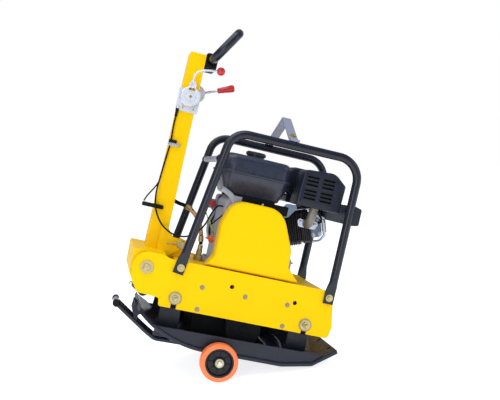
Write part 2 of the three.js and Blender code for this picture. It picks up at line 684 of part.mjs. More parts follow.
function buildEngine() {
  place('belt_cover', beltCover(), YELLOW);
  place('crankcase', crankcase(), CAST_BLACK);
  const crankGroup = new THREE.Group();
  crankGroup.position.set(CRANK.x, 0, CRANK.z);
  machine.add(crankGroup);
  place('crankshaft', barY(-166, 130, 0, 0, 12, 20), STEEL, crankGroup);
  place('clutch_pulley', grooved(CLUTCH_GROOVE_RADIUS), STEEL, crankGroup);
  place('flywheel_fan', flywheel(), CAST_BLACK, crankGroup);
  const bore = new THREE.Group();
  bore.position.set(CRANK.x, 0, CRANK.z);
  bore.rotation.y = -CYLINDER_TILT;
  machine.add(bore);
  place('cylinder', cylinderBarrel(), CAST_BLACK, bore);
  place('cylinder_head', cylinderHead(), ALUMINIUM, bore);
  place('cylinder_shroud', cylinderShroud(), STEEL, bore);
  place('fuel_tank', fuelTank(), PLASTIC);
  const cap = alongZ(polygon(34, 20), 654 + GAP, 668, 3, 1);
  place('fuel_cap', cap, PLASTIC);
  place('muffler', join(muffler(), exhaustPipe()), EXHAUST);
  place('muffler_guard', mufflerGuard(), PLASTIC);
  place('air_cleaner', airCleaner(), PLASTIC);
  place('carburettor', carburettor(), ALUMINIUM);
  place('fan_shroud', fanShroud(), GREY);
}

// ---------------------------------------------------------------- mast
function mast() {
  const half = MAST_HALF_WIDTH;
  const column = alongY(outline([[-288, 270], [-224, 270], [-226, 947], [-279, 947]]), -half, half);
  const foot = alongY(outline([[-328, 197], [-307, 162], [-240, 162, 20], [-232, 190], [-226, 278],
    [-330, 278, 6]]), -178, 178);
  const gusset = alongY(outline([[-250, 262], [-212, 262], [-165, 300, 10], [-168, 326, 12],
    [-206, 328, 8], [-230, 360], [-250, 360]]), -66, -58);
  const columnHollow = alongY(outline([[-282, 240], [-230, 240], [-232, 941], [-273, 941]]),
    -half + 5, half - 5);
  const footHollow = alongY(outline([[-321, 199], [-304, 169], [-220, 169], [-210, 272],
    [-323, 272]]), -172, 172);
  const stiffener = block(-248, -66, 262, -226, 66, 278);
  const body = cut(join(column, foot), columnHollow, footHollow);
  const pivotHole = barY(-200, 200, MAST_PIVOT.x, MAST_PIVOT.z, 10 + GAP);
  return cut(join(body, gusset, stiffener), columnHollow, pivotHole,
    barY(-80, -50, LOCK_PIN.x, LOCK_PIN.z, LOCK_PIN.radius + GAP));
}

function lockPin() {
  const pin = barY(-90, -42, 0, 0, LOCK_PIN.radius, 20);
  const collar = turned([[0, -94], [13, -94], [14, -91], [14, -80], [12, -78], [0, -78]], 0, 0, 24);
  const tommyBar = bentTube([[-4, -90, 0], [-48, -90, -4]], 5, 2.5, 8);
  return join(pin, collar, tommyBar);
}

// Places a point of the handle loop: across the mast and up along its leaning plane.
function onHandle(across, up) {
  return [HANDLE_BASE.x + up * Math.sin(HANDLE_LEAN), across, HANDLE_BASE.z + up * Math.cos(HANDLE_LEAN)];
}

function handleLoop() {
  const halves = [-1, 1].map((side) => bentTube(
    [onHandle(-side, 0), onHandle(side * 130, 0), onHandle(side * 130, HANDLE_REACH),
      onHandle(-side, HANDLE_REACH)], 48, HANDLE_RADIUS, TUBE_SIDES, 5));
  return join(...halves);
}

function handleBlock() {
  const holder = alongY(rounded(-225.3, 900, -184, 958, 8), -38, 38);
  return cut(holder, barY(-50, 50, HANDLE_BASE.x, HANDLE_BASE.z, HANDLE_RADIUS + GAP));
}

function throttleDrum() {
  const face = -MAST_HALF_WIDTH - GAP;
  const drum = turned([[0, -75], [27, -75], [34, -70], [34, -50], [0, -50]], DRUM.x, DRUM.z, 24);
  const backplate = alongY(rounded(-291, 745, -216, 822, 5), face - 5, face);
  const boot = barZ(722, 750, -284, -54, 5, 12);
  return join(drum, backplate, boot);
}

function throttleLever() {
  const boss = turned([[0, -86], [10, -86], [13, -83], [13, -75 - GAP], [0, -75 - GAP]], 0, 0, 20);
  const stub = alongY(outline([[-12, 0], [12, 0], [12, 42, 4], [6, 54, 4], [-6, 54, 4],
    [-12, 42, 4]]), -83, -77);
  const rod = softTube([[-1, -80, 48], [-2, -82, 64], [3, -84, 79], [19, -85, 91], [43, -85, 98],
    [69, -85, 101]], 3.5, 10, 8);
  return join(boss, stub, rod);
}

function knob() {
  return cut(new THREE.SphereGeometry(14, 12, 8).translate(81, -85, 104), barX(55, 77, -85, 101.5, 5, 12));
}

function handPump() {
  const body = turned([[0, 45 + GAP], [30, 45 + GAP], [30, 76], [25, 82], [0, 82]],
    HAND_PUMP.x, HAND_PUMP.z, 24);
  const port = barZ(778, 800, HAND_PUMP.x, 62, 9, 12);
  return join(body, port);
}

function directionLever() {
  const boss = turned([[0, 82 + GAP], [11, 82 + GAP], [11, 94], [0, 94]], 0, 0, 20);
  return join(boss, bentTube([[0, 90, 0], [30, 90, 14], [74, 92, 32]], 12, 4, 10, 3));
}

function directionGrip() {
  const length = 60;
  const grip = new THREE.LatheGeometry([[0, 0], [9, 0], [9.5, 6], [13, length - 6], [10, length], [0, length]]
    .map((p) => new THREE.Vector2(...p)), 14);
  return grip.rotateZ(-Math.PI / 2).rotateY(-0.39).translate(74.5, 92, 32.2);
}

function buildMast() {
  place('mast', mast(), YELLOW);
  place('handle_loop', handleLoop(), BLACK_PAINT);
  place('handle_block', handleBlock(), RUBBER);
  place('throttle_drum', throttleDrum(), ALUMINIUM);
  place('hand_pump', handPump(), ALUMINIUM);
  const pivots = { pin: LOCK_PIN, throttle: DRUM, pump: HAND_PUMP };
  const groups = Object.fromEntries(Object.entries(pivots).map(([key, { x, z }]) => {
    const group = new THREE.Group();
    group.position.set(x, 0, z);
    machine.add(group);
    return [key, group];
  }));
  place('mast_lock_pin', lockPin(), ZINC, groups.pin);
  place('throttle_lever', throttleLever(), STEEL, groups.throttle);
  place('throttle_knob', knob(), RED, groups.throttle);
  place('direction_lever', directionLever(), STEEL, groups.pump);
  place('direction_grip', directionGrip(), RED, groups.pump);
}

// The hose and the cable are clipped to the mast and loop over to the engine deck.
function buildLines() {
  const hoseRoute = [[-223, 62, 778 - GAP], [-223, 62, 752], [-230, 62, 700], [-237, 62, 640],
    [-240, 62, 560],
    [-240, 62, 500], [-236, 61, 464], [-222, 57, 448], [-205, 40, 441], [-186, 22, 438], [-164, 6, 432],
    [-139, 0, 412], [-120, -5, 384], [-108, -9, 352], [-102, -10, 319]];
  place('hydraulic_hose', softTube(hoseRoute, 7, 24, 8), RUBBER);
  const fitting = join(barZ(DECK_Z + GAP, 284, -102, -10, 16, 6), barZ(280, 318 - GAP, -102, -10, 9, 16));
  place('hose_fitting', fitting, ZINC);
  const cableRoute = [[-284, -54, 722 - GAP], [-284, -53, 690], [-282, -52, 632], [-286, -52, 573],
    [-290, -52, 511], [-292, -56, 460], [-284, -70, 412], [-262, -84, 372], [-232, -94, 348],
    [-200, -98, 338], [-165, -96, 342],
    [-134, -88, 362], [-112, -76, 392], [-98, -66, 430], [-82, -60, 460], [-63.4, -60, 464]];
  place('throttle_cable', softTube(cableRoute, 2.8, 26, 8), RUBBER);
}

// ---------------------------------------------------------------- trolley
function trolleyFrame() {
  const axleEnd = WHEEL_Y + WHEEL_WIDTH / 2 + 12;
  const pieces = [barY(-axleEnd, axleEnd, AXLE.x, AXLE.z, AXLE.radius, 12),
    barY(-40, 40, TROLLEY_BAR.x, TROLLEY_BAR.z, 10, 12)];
  for (const side of [-1, 1]) {
    const y = side * TROLLEY_ARM_Y;
    const route = [[TROLLEY_BAR.x - 2, y, TROLLEY_BAR.z], [-226, y, -1], [-190, y, -21], [AXLE.x, y, AXLE.z]];
    pieces.push(bentTube(route, 40, 9, 8, 2));
    const eye = barY(y - 8, y + 8, TROLLEY_HINGE.x, TROLLEY_HINGE.z, 13, 12);
    const web = block(TROLLEY_HINGE.x - 7, y - 8, 22, TROLLEY_HINGE.x + 7, y + 8, TROLLEY_HINGE.z);
    const grip = [side * 38, side * 62].sort((a, b) => a - b);
    pieces.push(eye, web, barY(...grip, TROLLEY_BAR.x, TROLLEY_BAR.z, 11.5, 12));
    const collar = WHEEL_Y - WHEEL_WIDTH / 2 - GAP;
    const [inner, outer] = side > 0 ? [collar - 6, collar] : [-collar, -collar + 6];
    pieces.push(barY(inner, outer, AXLE.x, AXLE.z, 14, 12));
    const end = WHEEL_Y + WHEEL_WIDTH / 2 + GAP;
    const [near, far] = side > 0 ? [end, end + 8] : [-end - 8, -end];
    pieces.push(barY(near, far, AXLE.x, AXLE.z, 13, 6));
  }
  const bores = [-1, 1].map((side) => barY(side * TROLLEY_ARM_Y - 12, side * TROLLEY_ARM_Y + 12,
    TROLLEY_HINGE.x, TROLLEY_HINGE.z, 6 + GAP, 12));
  return cut(join(...pieces), ...bores);
}

function buildTrolley() {
  place('trolley_frame', trolleyFrame(), BLACK_PAINT);
  for (const [name, side] of [['near', -1], ['far', 1]]) {
    const wheel = new THREE.Group();
    wheel.position.set(AXLE.x, side * WHEEL_Y, AXLE.z);
    machine.add(wheel);
    const half = WHEEL_WIDTH / 2;
    const tread = 46;
    place(`wheel_tyre_${name}`, turned([[tread, -half], [57, -half], [WHEEL_RADIUS, -half + 5],
      [WHEEL_RADIUS, half - 5], [57, half], [tread, half], [tread, -half]], 0, 0, 32), ORANGE_TYRE, wheel);
    const rim = tread - GAP;
    const bore = AXLE.radius + GAP;
    place(`wheel_hub_${name}`, turned([[bore, -half], [18, -half], [20, -half + 7], [38, -half + 7],
      [41, -half], [rim, -half], [rim, half], [41, half], [38, half - 7], [20, half - 7], [18, half],
      [bore, half], [bore, -half]],
    0, 0, 16), PLASTIC, wheel);
  }
}

buildExciter();
buildChassis();
buildCage();
buildEngine();
buildRecoil();
buildSmallControls();
buildMast();
buildLines();
buildTrolley();

// ---------------------------------------------------------------- standing on the floor
const reach = Math.hypot(PLATE_KNEE.x - AXLE.x, PLATE_KNEE.z - AXLE.z);
const restTilt = Math.asin(WHEEL_RADIUS / reach) + Math.atan2(PLATE_KNEE.z - AXLE.z, PLATE_KNEE.x - AXLE.x);
machine.rotation.y = restTilt;

const group = new THREE.Group();
group.add(machine);
group.updateMatrixWorld(true);
const bounds = new THREE.Box3().setFromObject(group, true);
const middle = bounds.getCenter(new THREE.Vector3());
machine.position.set(-middle.x, -middle.y, -bounds.min.z);

export default group;
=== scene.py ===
"""A reversible plate compactor on its transport trolley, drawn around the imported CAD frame.

Pieces are drawn level, in the machine's own millimetres (X forward, Y to the far side, Z up from
the flat sole of the plate), and STAND carries them to the row frame, where the machine stands nose
down on its trolley wheels.
"""
import json
import math

import bmesh
import bpy
from mathutils import Matrix, Quaternion, Vector


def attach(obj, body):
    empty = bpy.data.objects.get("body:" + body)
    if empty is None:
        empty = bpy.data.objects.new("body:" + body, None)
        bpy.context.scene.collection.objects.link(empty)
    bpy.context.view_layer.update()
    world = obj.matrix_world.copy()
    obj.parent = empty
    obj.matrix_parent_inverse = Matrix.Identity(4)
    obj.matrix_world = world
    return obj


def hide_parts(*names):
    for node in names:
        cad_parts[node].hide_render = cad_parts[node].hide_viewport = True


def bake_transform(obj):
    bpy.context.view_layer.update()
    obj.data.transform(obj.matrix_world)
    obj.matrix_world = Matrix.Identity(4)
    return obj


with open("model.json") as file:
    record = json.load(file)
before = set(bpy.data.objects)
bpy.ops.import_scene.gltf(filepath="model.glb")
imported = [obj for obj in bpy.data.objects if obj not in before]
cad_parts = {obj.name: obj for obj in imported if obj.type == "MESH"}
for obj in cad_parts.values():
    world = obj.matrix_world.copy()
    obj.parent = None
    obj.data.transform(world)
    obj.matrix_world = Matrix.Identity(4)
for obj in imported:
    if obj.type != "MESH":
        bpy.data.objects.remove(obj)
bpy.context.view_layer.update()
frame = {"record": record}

# ------------------------------------------------------------------ dimensions, machine mm
NEAR, FAR = -1, 1
SIDES = (("near", NEAR), ("far", FAR))
CRANK = (30, 385)
MAST_PIVOT = (-279, 227)
AXLE = (3, -17)
MOUNTS = (("rear", -170, 147), ("front", 268, 143))
CAGE_TOP = 706
TUBE = 14
DECK = 264
PANEL_FACE = 191
TROLLEY_ARM = 30
TROLLEY_BAR = (-341, 74)
LOCK_PIN = (-177, 310)
HANDLE_BASE = (-203, 935)
HANDLE_LEAN = math.atan2(77, 125)
CYLINDER_TILT = math.radians(19.4)


def joint_place(name):
    joints = frame["record"]["behaviour"]["joints"]
    return Vector(next(j["pos_m"] for j in joints if j["name"] == name))


def stand_matrix():
    """From the level machine's millimetres to the row frame's metres."""
    mounts = frame["record"]["mounts"]
    up = Vector(next(m["axis"] for m in mounts if m["name"] == "deck_top")).normalized()
    forward = Vector((up.z, 0, -up.x))
    turn = Matrix((forward, (0, 1, 0), up)).transposed()
    crank = Vector((CRANK[0], 0, CRANK[1])) / 1000
    shift = joint_place("crankshaft_spin") - turn @ crank
    return Matrix.Translation(shift) @ turn.to_4x4() @ Matrix.Scale(0.001, 4)


STAND = stand_matrix()


# ------------------------------------------------------------------ camera
def add_camera():
    data = bpy.data.cameras.new("view")
    data.sensor_width = 36
    data.lens = 58.25
    camera = bpy.data.objects.new("view", data)
    camera.location = (-0.4061, -2.7565, 0.7216)
    camera.rotation_euler = [math.radians(a) for a in (86.61, 5.18, -10.33)]
    bpy.context.scene.collection.objects.link(camera)
    bpy.context.scene.camera = camera


add_camera()


# ------------------------------------------------------------------ materials
def srgb(red, green, blue):
    return [((c / 255 + 0.055) / 1.055) ** 2.4 if c > 10 else c / 255 / 12.92
            for c in (red, green, blue)]


class Tree:
    """A small helper that adds nodes and links them in one call."""

    def __init__(self, material):
        self.nodes = material.node_tree.nodes
        self.links = material.node_tree.links

    def add(self, kind, inputs=None, **settings):
        made = self.nodes.new(kind)
        for key, value in settings.items():
            setattr(made, key, value)
        for key, value in (inputs or {}).items():
            if isinstance(value, bpy.types.NodeSocket):
                self.links.new(value, made.inputs[key])
            else:
                made.inputs[key].default_value = value
        return made


def look(name, tint, rough, metal=0.0, mottle=0.06, patch=9.0, grain=700.0, bump=0.08,
         smear=0.08, coat=0.0, gloss=0.5, wear=None, wear_share=0.5, dust=0.0):
    """Paint, metal or plastic: mottled colour, uneven gloss, fine grain and rubbed edges."""
    material = bpy.data.materials.new(name)
    material.use_nodes = True
    tree = Tree(material)
    shader = next(n for n in tree.nodes if n.type == "BSDF_PRINCIPLED")
    shader.inputs["Metallic"].default_value = metal
    shader.inputs["Specular IOR Level"].default_value = gloss
    shader.inputs["Coat Weight"].default_value = coat
    shader.inputs["Coat Roughness"].default_value = 0.12
    place = tree.add("ShaderNodeTexCoord").outputs["Object"]
    cloud = tree.add("ShaderNodeTexNoise", {"Vector": place, "Scale": patch, "Detail": 5.0})
    dark = [c * (1 - mottle) for c in tint] + [1]
    light = [min(1, c * (1 + mottle)) for c in tint] + [1]
    colour = tree.add("ShaderNodeMix", {"Factor": cloud.outputs["Fac"], 6: dark, 7: light},
                      data_type="RGBA").outputs[2]
    if dust:
        low = tree.add("ShaderNodeTexNoise", {"Vector": place, "Scale": 30.0, "Detail": 8.0})
        amount = tree.add("ShaderNodeMapRange", {"Value": low.outputs["Fac"], "From Min": 0.45,
                                                 "From Max": 0.8, "To Max": dust})
        colour = tree.add("ShaderNodeMix", {"Factor": amount.outputs[0], 6: colour,
                                            7: srgb(150, 146, 138) + [1]},
                          data_type="RGBA").outputs[2]
    if wear:
        edge = tree.add("ShaderNodeNewGeometry").outputs["Pointiness"]
        chips = tree.add("ShaderNodeTexNoise", {"Vector": place, "Scale": 160.0, "Detail": 4.0})
        sharp = tree.add("ShaderNodeMapRange", {"Value": edge, "From Min": 0.56, "From Max": 0.66})
        part = tree.add("ShaderNodeMath", {0: sharp.outputs[0], 1: chips.outputs["Fac"]},
                        operation="MULTIPLY").outputs[0]
        part = tree.add("ShaderNodeMath", {0: part, 1: wear_share}, operation="MULTIPLY").outputs[0]
        colour = tree.add("ShaderNodeMix", {"Factor": part, 6: colour, 7: list(wear) + [1]},
                          data_type="RGBA").outputs[2]
    tree.links.new(colour, shader.inputs["Base Color"])
    streak = tree.add("ShaderNodeTexNoise", {"Vector": place, "Scale": 55.0, "Detail": 6.0})
    gloss = tree.add("ShaderNodeMapRange", {"Value": streak.outputs["Fac"], "From Min": 0.3,
                                            "From Max": 0.7, "To Min": max(0.04, rough - smear),
                                            "To Max": rough + smear})
    tree.links.new(gloss.outputs[0], shader.inputs["Roughness"])
    fine = tree.add("ShaderNodeTexNoise", {"Vector": place, "Scale": grain, "Detail": 3.0})
    relief = tree.add("ShaderNodeBump", {"Strength": bump, "Distance": 0.0006,
                                         "Height": fine.outputs["Fac"]})
    tree.links.new(relief.outputs["Normal"], shader.inputs["Normal"])
    return material


PALE_STEEL = srgb(190, 196, 206)
LOOKS = {
    "yellow": (look("yellow_paint", srgb(245, 196, 0), 0.4, mottle=0.02, grain=420, bump=0.04,
                    gloss=0.08, wear=srgb(250, 220, 60), wear_share=0.25), "paint_yellow"),
    "black": (look("black_powder_coat", srgb(14, 18, 33), 0.28, grain=1300, bump=0.1,
                   gloss=0.42, wear=srgb(96, 100, 112), wear_share=0.3), "paint_black"),
    "iron": (look("black_painted_iron", srgb(24, 28, 42), 0.34, mottle=0.12, grain=520, bump=0.2, gloss=0.35,
                  wear=srgb(110, 114, 126), wear_share=0.3), "cast_plate"),
    # lighter grey base: on the rear lip a painted highlight of the light on the black plate, on the exciter
    # fender the plate's own grey; the pale rubbed edges and the dust are wear
    "lip": (look("worn_plate_lip", srgb(70, 74, 86), 0.36, metal=0.3, mottle=0.2, patch=14,
                 grain=520, bump=0.25, wear=PALE_STEEL, wear_share=0.6, dust=0.1), "cast_plate"),
    "fins": (look("black_fins", srgb(13, 13, 18), 0.45, mottle=0.12, grain=600, bump=0.3, gloss=0.4,
                  wear=srgb(110, 112, 118), wear_share=0.3), "cast_plate"),
    "case": (look("engine_case", srgb(166, 168, 178), 0.42, metal=0.25, mottle=0.14, patch=22,
                  grain=600, bump=0.35, wear=PALE_STEEL, wear_share=0.4), "cast_plate"),
    "plastic": (look("grained_plastic", srgb(28, 32, 46), 0.36, grain=900, bump=0.22, gloss=0.32,
                     wear=srgb(74, 77, 86), wear_share=0.25), "plastic_black"),
    # painted highlight: the tank's black plastic drawn lighter than the other plastic for the light on its
    # top
    "tank": (look("moulded_tank", srgb(38, 43, 60), 0.3, grain=900, bump=0.12, gloss=0.5), "plastic_black"),
    "rubber": (look("rubber", srgb(9, 9, 14), 0.6, grain=500, bump=0.3, gloss=0.2),
               "rubber_black"),
    "hub": (look("hub_plastic", srgb(12, 15, 24), 0.4, grain=800, bump=0.2, gloss=0.35), "plastic_black"),
    "tyre": (look("orange_polyurethane", srgb(236, 120, 62), 0.38, mottle=0.08, patch=30,
                  grain=400, bump=0.12, dust=0.08), "tyre_orange"),
    "orange": (look("orange_cap", srgb(250, 104, 20), 0.35, bump=0.05), "cap_orange"),
    "red": (look("red_plastic", srgb(190, 16, 24), 0.24, mottle=0.04, bump=0.03, coat=0.3),
            "red_plastic"),
    "zinc": (look("yellow_zinc", srgb(186, 174, 126), 0.36, metal=0.85, mottle=0.28, patch=60,
                  grain=1500, bump=0.15), "zinc_yellow"),
    "washer": (look("grey_washer", srgb(150, 146, 118), 0.4, metal=0.7, mottle=0.2, patch=50,
                    grain=1500, bump=0.2), "zinc_yellow"),
    "steel": (look("bright_steel", srgb(196, 202, 212), 0.24, metal=0.95, grain=1600, bump=0.12,
                   smear=0.1), "steel_bright"),
    "aluminium": (look("cast_aluminium", srgb(206, 209, 216), 0.4, metal=0.45, mottle=0.08,
                       grain=900, bump=0.35), "aluminium_cast"),
    "cap": (look("pressed_head_cover", srgb(118, 134, 150), 0.3, metal=0.75, mottle=0.2, patch=26,
                 grain=900, bump=0.3, wear=srgb(215, 226, 236), wear_share=0.6), "aluminium_cast"),
    # painted shade: a near-black, darker than the black paint and the rubber, for parts that sit in shade
    # under the panel, under the tank and inside the muffler guard
    "shade_dark": (look("deep_black", srgb(4, 5, 9), 0.6, grain=600, bump=0.2, gloss=0.15), "paint_black"),
    # grey paint on the recoil cover and the fan shroud; on the cage crossbar and the bail the grey is a
    # painted highlight of the light on black tube
    "grey": (look("grey_paint", srgb(136, 140, 158), 0.4, mottle=0.05, grain=700, bump=0.12,
                  wear=PALE_STEEL, wear_share=0.3), "paint_grey"),
    "exhaust": (look("tinted_exhaust", srgb(128, 122, 114), 0.5, metal=0.5, mottle=0.3, patch=18,
                     grain=500, bump=0.4), "exhaust_steel"),
    "brass": (look("brass", srgb(186, 152, 74), 0.34, metal=0.9, mottle=0.12), "zinc_yellow"),
    "tan_hose": (look("tan_hose", srgb(186, 142, 96), 0.35, mottle=0.12, patch=40),
                 "rubber_black"),
    "green_wire": (look("green_wire", srgb(60, 150, 60), 0.4), "rubber_black"),
    "yellow_wire": (look("yellow_wire", srgb(214, 190, 40), 0.4), "rubber_black"),
}


# ------------------------------------------------------------------ mesh building
def piece_of(name, points, faces, crease=35):
    mesh = bpy.data.meshes.new(name)
    mesh.from_pydata([STAND @ Vector(p) for p in points], [], [list(f) for f in faces])
    made = bmesh.new()
    made.from_mesh(mesh)
    bmesh.ops.remove_doubles(made, verts=made.verts, dist=2e-6)
    bmesh.ops.recalc_face_normals(made, faces=made.faces)
    made.to_mesh(mesh)
    made.free()
    return shown(name, mesh, crease)


def shown(name, mesh, crease=35):
    for face in mesh.polygons:
        face.use_smooth = True
    mesh.set_sharp_from_angle(angle=math.radians(crease))
    obj = bpy.data.objects.new(name, mesh)
    bpy.context.scene.collection.objects.link(obj)
    return obj


def settled(obj):
    """The object's mesh with its modifiers applied; the object is removed."""
    seen = obj.evaluated_get(bpy.context.evaluated_depsgraph_get())
    mesh = bpy.data.meshes.new_from_object(seen)
    bpy.data.objects.remove(obj)
    return mesh


def soften(obj, width, segments=3, angle=32):
    """Rounds the hard edges by width millimetres."""
    edge = obj.modifiers.new("edges", "BEVEL")
    edge.width = width / 1000
    edge.segments = segments
    edge.limit_method = "ANGLE"
    edge.angle_limit = math.radians(angle)
    edge.harden_normals = True
    edge.miter_outer = "MITER_ARC"
    return obj


def carve(obj, *cutters):
    """Cuts other pieces out of a piece, which keeps its name."""
    name = obj.name
    for cutter in cutters:
        step = obj.modifiers.new("cut", "BOOLEAN")
        step.object = cutter
        step.solver = "EXACT"
    bpy.context.view_layer.update()
    mesh = settled(obj)
    for cutter in cutters:
        bpy.data.objects.remove(cutter)
    mesh.name = name
    return shown(name, mesh)


def merged(name, parts):
    """One piece made of several, their modifiers applied."""
    bpy.context.view_layer.update()
    made = bmesh.new()
    for part in parts:
        mesh = settled(part)
        made.from_mesh(mesh)
    mesh = bpy.data.meshes.new(name)
    made.to_mesh(mesh)
    made.free()
    return shown(name, mesh)


def dress(obj, finish, body, *nodes):
    """Gives a piece its look and body, and hides the CAD nodes it stands for; a bent line has no body."""
    material, slot = LOOKS[finish]
    obj.data.materials.clear()
    obj.data.materials.append(material)
    if body:
        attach(obj, body)
    if nodes:
        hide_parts(*nodes)
    return obj


def coat(node, finish):
    """A better material on a CAD node that stays as it is."""
    material, _ = LOOKS[finish]
    obj = bpy.data.objects[node]
    for spot in obj.material_slots:
        spot.material = material


def loft(name, rings, round_trip=False, crease=35):
    """A skin over rings of equal length, capped at both ends unless it closes on itself."""
    size = len(rings[0])
    points = [p for ring in rings for p in ring]
    faces = []
    spans = len(rings) if round_trip else len(rings) - 1
    for i in range(spans):
        j = (i + 1) % len(rings)
        for k in range(size):
            n = (k + 1) % size
            faces.append((i * size + k, i * size + n, j * size + n, j * size + k))
    if not round_trip:
        faces.append(tuple(range(size))[::-1])
        faces.append(tuple(range((len(rings) - 1) * size, len(rings) * size)))
    return piece_of(name, points, faces, crease)


def arc_corner(before, corner, after, radius, steps):
    """Points of a round corner between two straight runs, in two or three dimensions."""
    back = (before - corner).normalized()
    ahead = (after - corner).normalized()
    half = back.angle(ahead) / 2
    start = corner + back * radius / math.tan(half)
    centre = corner + (back + ahead).normalized() * radius / math.sin(half)
    spoke = start - centre
    side = -back
    turn = math.pi - 2 * half
    return [centre + spoke * math.cos(turn * k / steps) + side * radius * math.sin(turn * k / steps)
            for k in range(steps + 1)]


def outline(corners, steps=8):
    """A closed outline through (x, z, radius) corners."""
    count = len(corners)
    spots = [Vector((c[0], c[1], 0)) for c in corners]
    points = []
    for i, corner in enumerate(corners):
        radius = corner[2] if len(corner) > 2 else 0
        if radius:
            points += arc_corner(spots[i - 1], spots[i], spots[(i + 1) % count], radius, steps)
        else:
            points.append(spots[i])
    return [(p.x, p.y) for p in points]


def rounded(x0, z0, x1, z1, radius, steps=8):
    return outline([(x0, z0, radius), (x1, z0, radius), (x1, z1, radius), (x0, z1, radius)], steps)


def slab(name, shape, y0, y1, edge=1.2, along="Y"):
    """An outline drawn in X and Z run along Y, or one in X and Y run along Z."""
    turn = {"Y": lambda a, b, h: (a, h, b), "Z": lambda a, b, h: (a, b, h),
            "X": lambda a, b, h: (h, a, b)}[along]
    rings = [[turn(a, b, y) for a, b in shape] for y in (y0, y1)]
    obj = loft(name, rings)
    return soften(obj, edge) if edge else obj


def brick(name, low, high, edge=1.0):
    (x0, y0, z0), (x1, y1, z1) = low, high
    return slab(name, [(x0, z0), (x1, z0), (x1, z1), (x0, z1)], y0, y1, edge)


def round_line(corners, radius, steps=10):
    """A line of straight runs and round bends through 3D corners."""
    spots = [Vector(c) for c in corners]
    points = [spots[0]]
    for i in range(1, len(spots) - 1):
        points += arc_corner(spots[i - 1], spots[i], spots[i + 1], radius, steps)
    return points + [spots[-1]]


def flowing(points, steps=6):
    """A smooth line through points."""
    spots = [Vector(p) for p in points]
    spots = [2 * spots[0] - spots[1], *spots, 2 * spots[-1] - spots[-2]]
    line = []
    for a, b, c, d in zip(spots, spots[1:], spots[2:], spots[3:]):
        for k in range(steps):
            t = k / steps
            line.append(0.5 * (2 * b + (c - a) * t + (2 * a - 5 * b + 4 * c - d) * t * t
                               + (3 * b - a - 3 * c + d) * t ** 3))
    return line + [spots[-2]]


def frames_along(line):
    """Each point of a line with its heading and two directions across it."""
    last = len(line) - 1
    headings = [(line[min(i + 1, last)] - line[max(i - 1, 0)]).normalized() for i in range(last + 1)]
    across = headings[0].orthogonal().normalized()
    made = []
    for i, heading in enumerate(headings):
        if i:
            across = headings[i - 1].rotation_difference(heading) @ across
        across = (across - heading * across.dot(heading)).normalized()
        made.append((line[i], heading, across, heading.cross(across)))
    return made


def tube(name, line, radius, sides=20, swell=None):
    """A round tube along a line; swell gives the radius's factor at a share of the line."""
    rings = []
    last = len(line) - 1
    for i, (spot, _, across, up) in enumerate(frames_along(line)):
        size = radius * (swell(i / last) if swell else 1)
        rings.append([spot + (across * math.cos(a) + up * math.sin(a)) * size
                      for a in (2 * math.pi * k / sides for k in range(sides))])
    return loft(name, rings, crease=60)


def turned(name, profile, origin, axis=(0, 1, 0), sides=56, crease=28):
    """A piece turned about an axis through origin; the profile is (radius, distance) pairs."""
    axis = Vector(axis).normalized()
    across = Vector((0, 0, 1)) if abs(axis.z) < 0.9 else Vector((1, 0, 0))
    across = (across - axis * across.dot(axis)).normalized()
    side = axis.cross(across)
    origin = Vector(origin)
    rings = []
    for radius, distance in profile:
        rings.append([origin + axis * distance
                      + (across * math.cos(a) + side * math.sin(a)) * max(radius, 0.0005)
                      for a in (2 * math.pi * k / sides for k in range(sides))])
    closed = profile[0] == profile[-1]
    return loft(name, rings[:-1] if closed else rings, closed, crease)


def chamfered(radius, low, high, edge, hole=0.0):
    """The profile of a disc or, with a hole, of a ring, its rims eased."""
    rim = [(radius - edge, low), (radius, low + edge), (radius, high - edge), (radius - edge, high)]
    if hole:
        inner = [(hole, high), (hole, low)]
        return [(hole, low), *rim, *inner]
    return [(0, low), *rim, (0, high)]


def bolt(name, origin, axis, size=6.5, washer=True, nut_height=5.0, stud=0.0):
    """A hexagon head on a washer, with the end of a stud if it is a nut."""
    parts = []
    base = 0.0
    if washer:
        parts.append(turned("part", chamfered(size * 1.75, 0, 1.8, 0.4), origin, axis, 40))
        base = 1.8
    profile = [(0, base), (size, base), (size, base + nut_height - 1.2),
               (size * 0.86, base + nut_height), (0, base + nut_height)]
    parts.append(turned("part", profile, origin, axis, 6, 20))
    if stud:
        thread = [(size * 0.5 + 0.25 * (i % 2), base + nut_height - 1 + i * 0.9)
                  for i in range(int(stud / 0.9))]
        parts.append(turned("part", [(0, thread[0][1]), *thread, (0, thread[-1][1] + 0.8)],
                            origin, axis, 20))
    return merged(name, parts)


def crisp(node, width, finish, body, angle=30):
    """A CAD node's own shape with its edges rounded."""
    source = bpy.data.objects[node].data.copy()
    made = bmesh.new()
    made.from_mesh(source)
    bmesh.ops.remove_doubles(made, verts=made.verts, dist=2e-6)
    bmesh.ops.dissolve_limit(made, angle_limit=math.radians(1), verts=made.verts, edges=made.edges)
    made.to_mesh(source)
    made.free()
    obj = shown(node + "_finished", source, angle)
    soften(obj, width, 2, angle)
    return dress(obj, finish, body, node)


# ------------------------------------------------------------------ base plate
def rear_curve(t):
    """The lower surface of the plate behind its flat sole, from the rear lip forwards."""
    a, b, c = Vector((-273, 80)), Vector((-160, 0)), Vector((-50, 0))
    return (1 - t) ** 2 * a + 2 * t * (1 - t) * b + t * t * c


def plate_outline():
    lower = [tuple(rear_curve(i / 20)) for i in range(21)]
    lower += [(205, 0), (213, 0.4), (304, 17.8), (313, 20.6), (389, 76)]
    upper = [(x + (7 if i == 0 else -7 if i == len(lower) - 1 else 0), z + 12)
             for i, (x, z) in enumerate(lower)]
    return lower + upper[::-1]


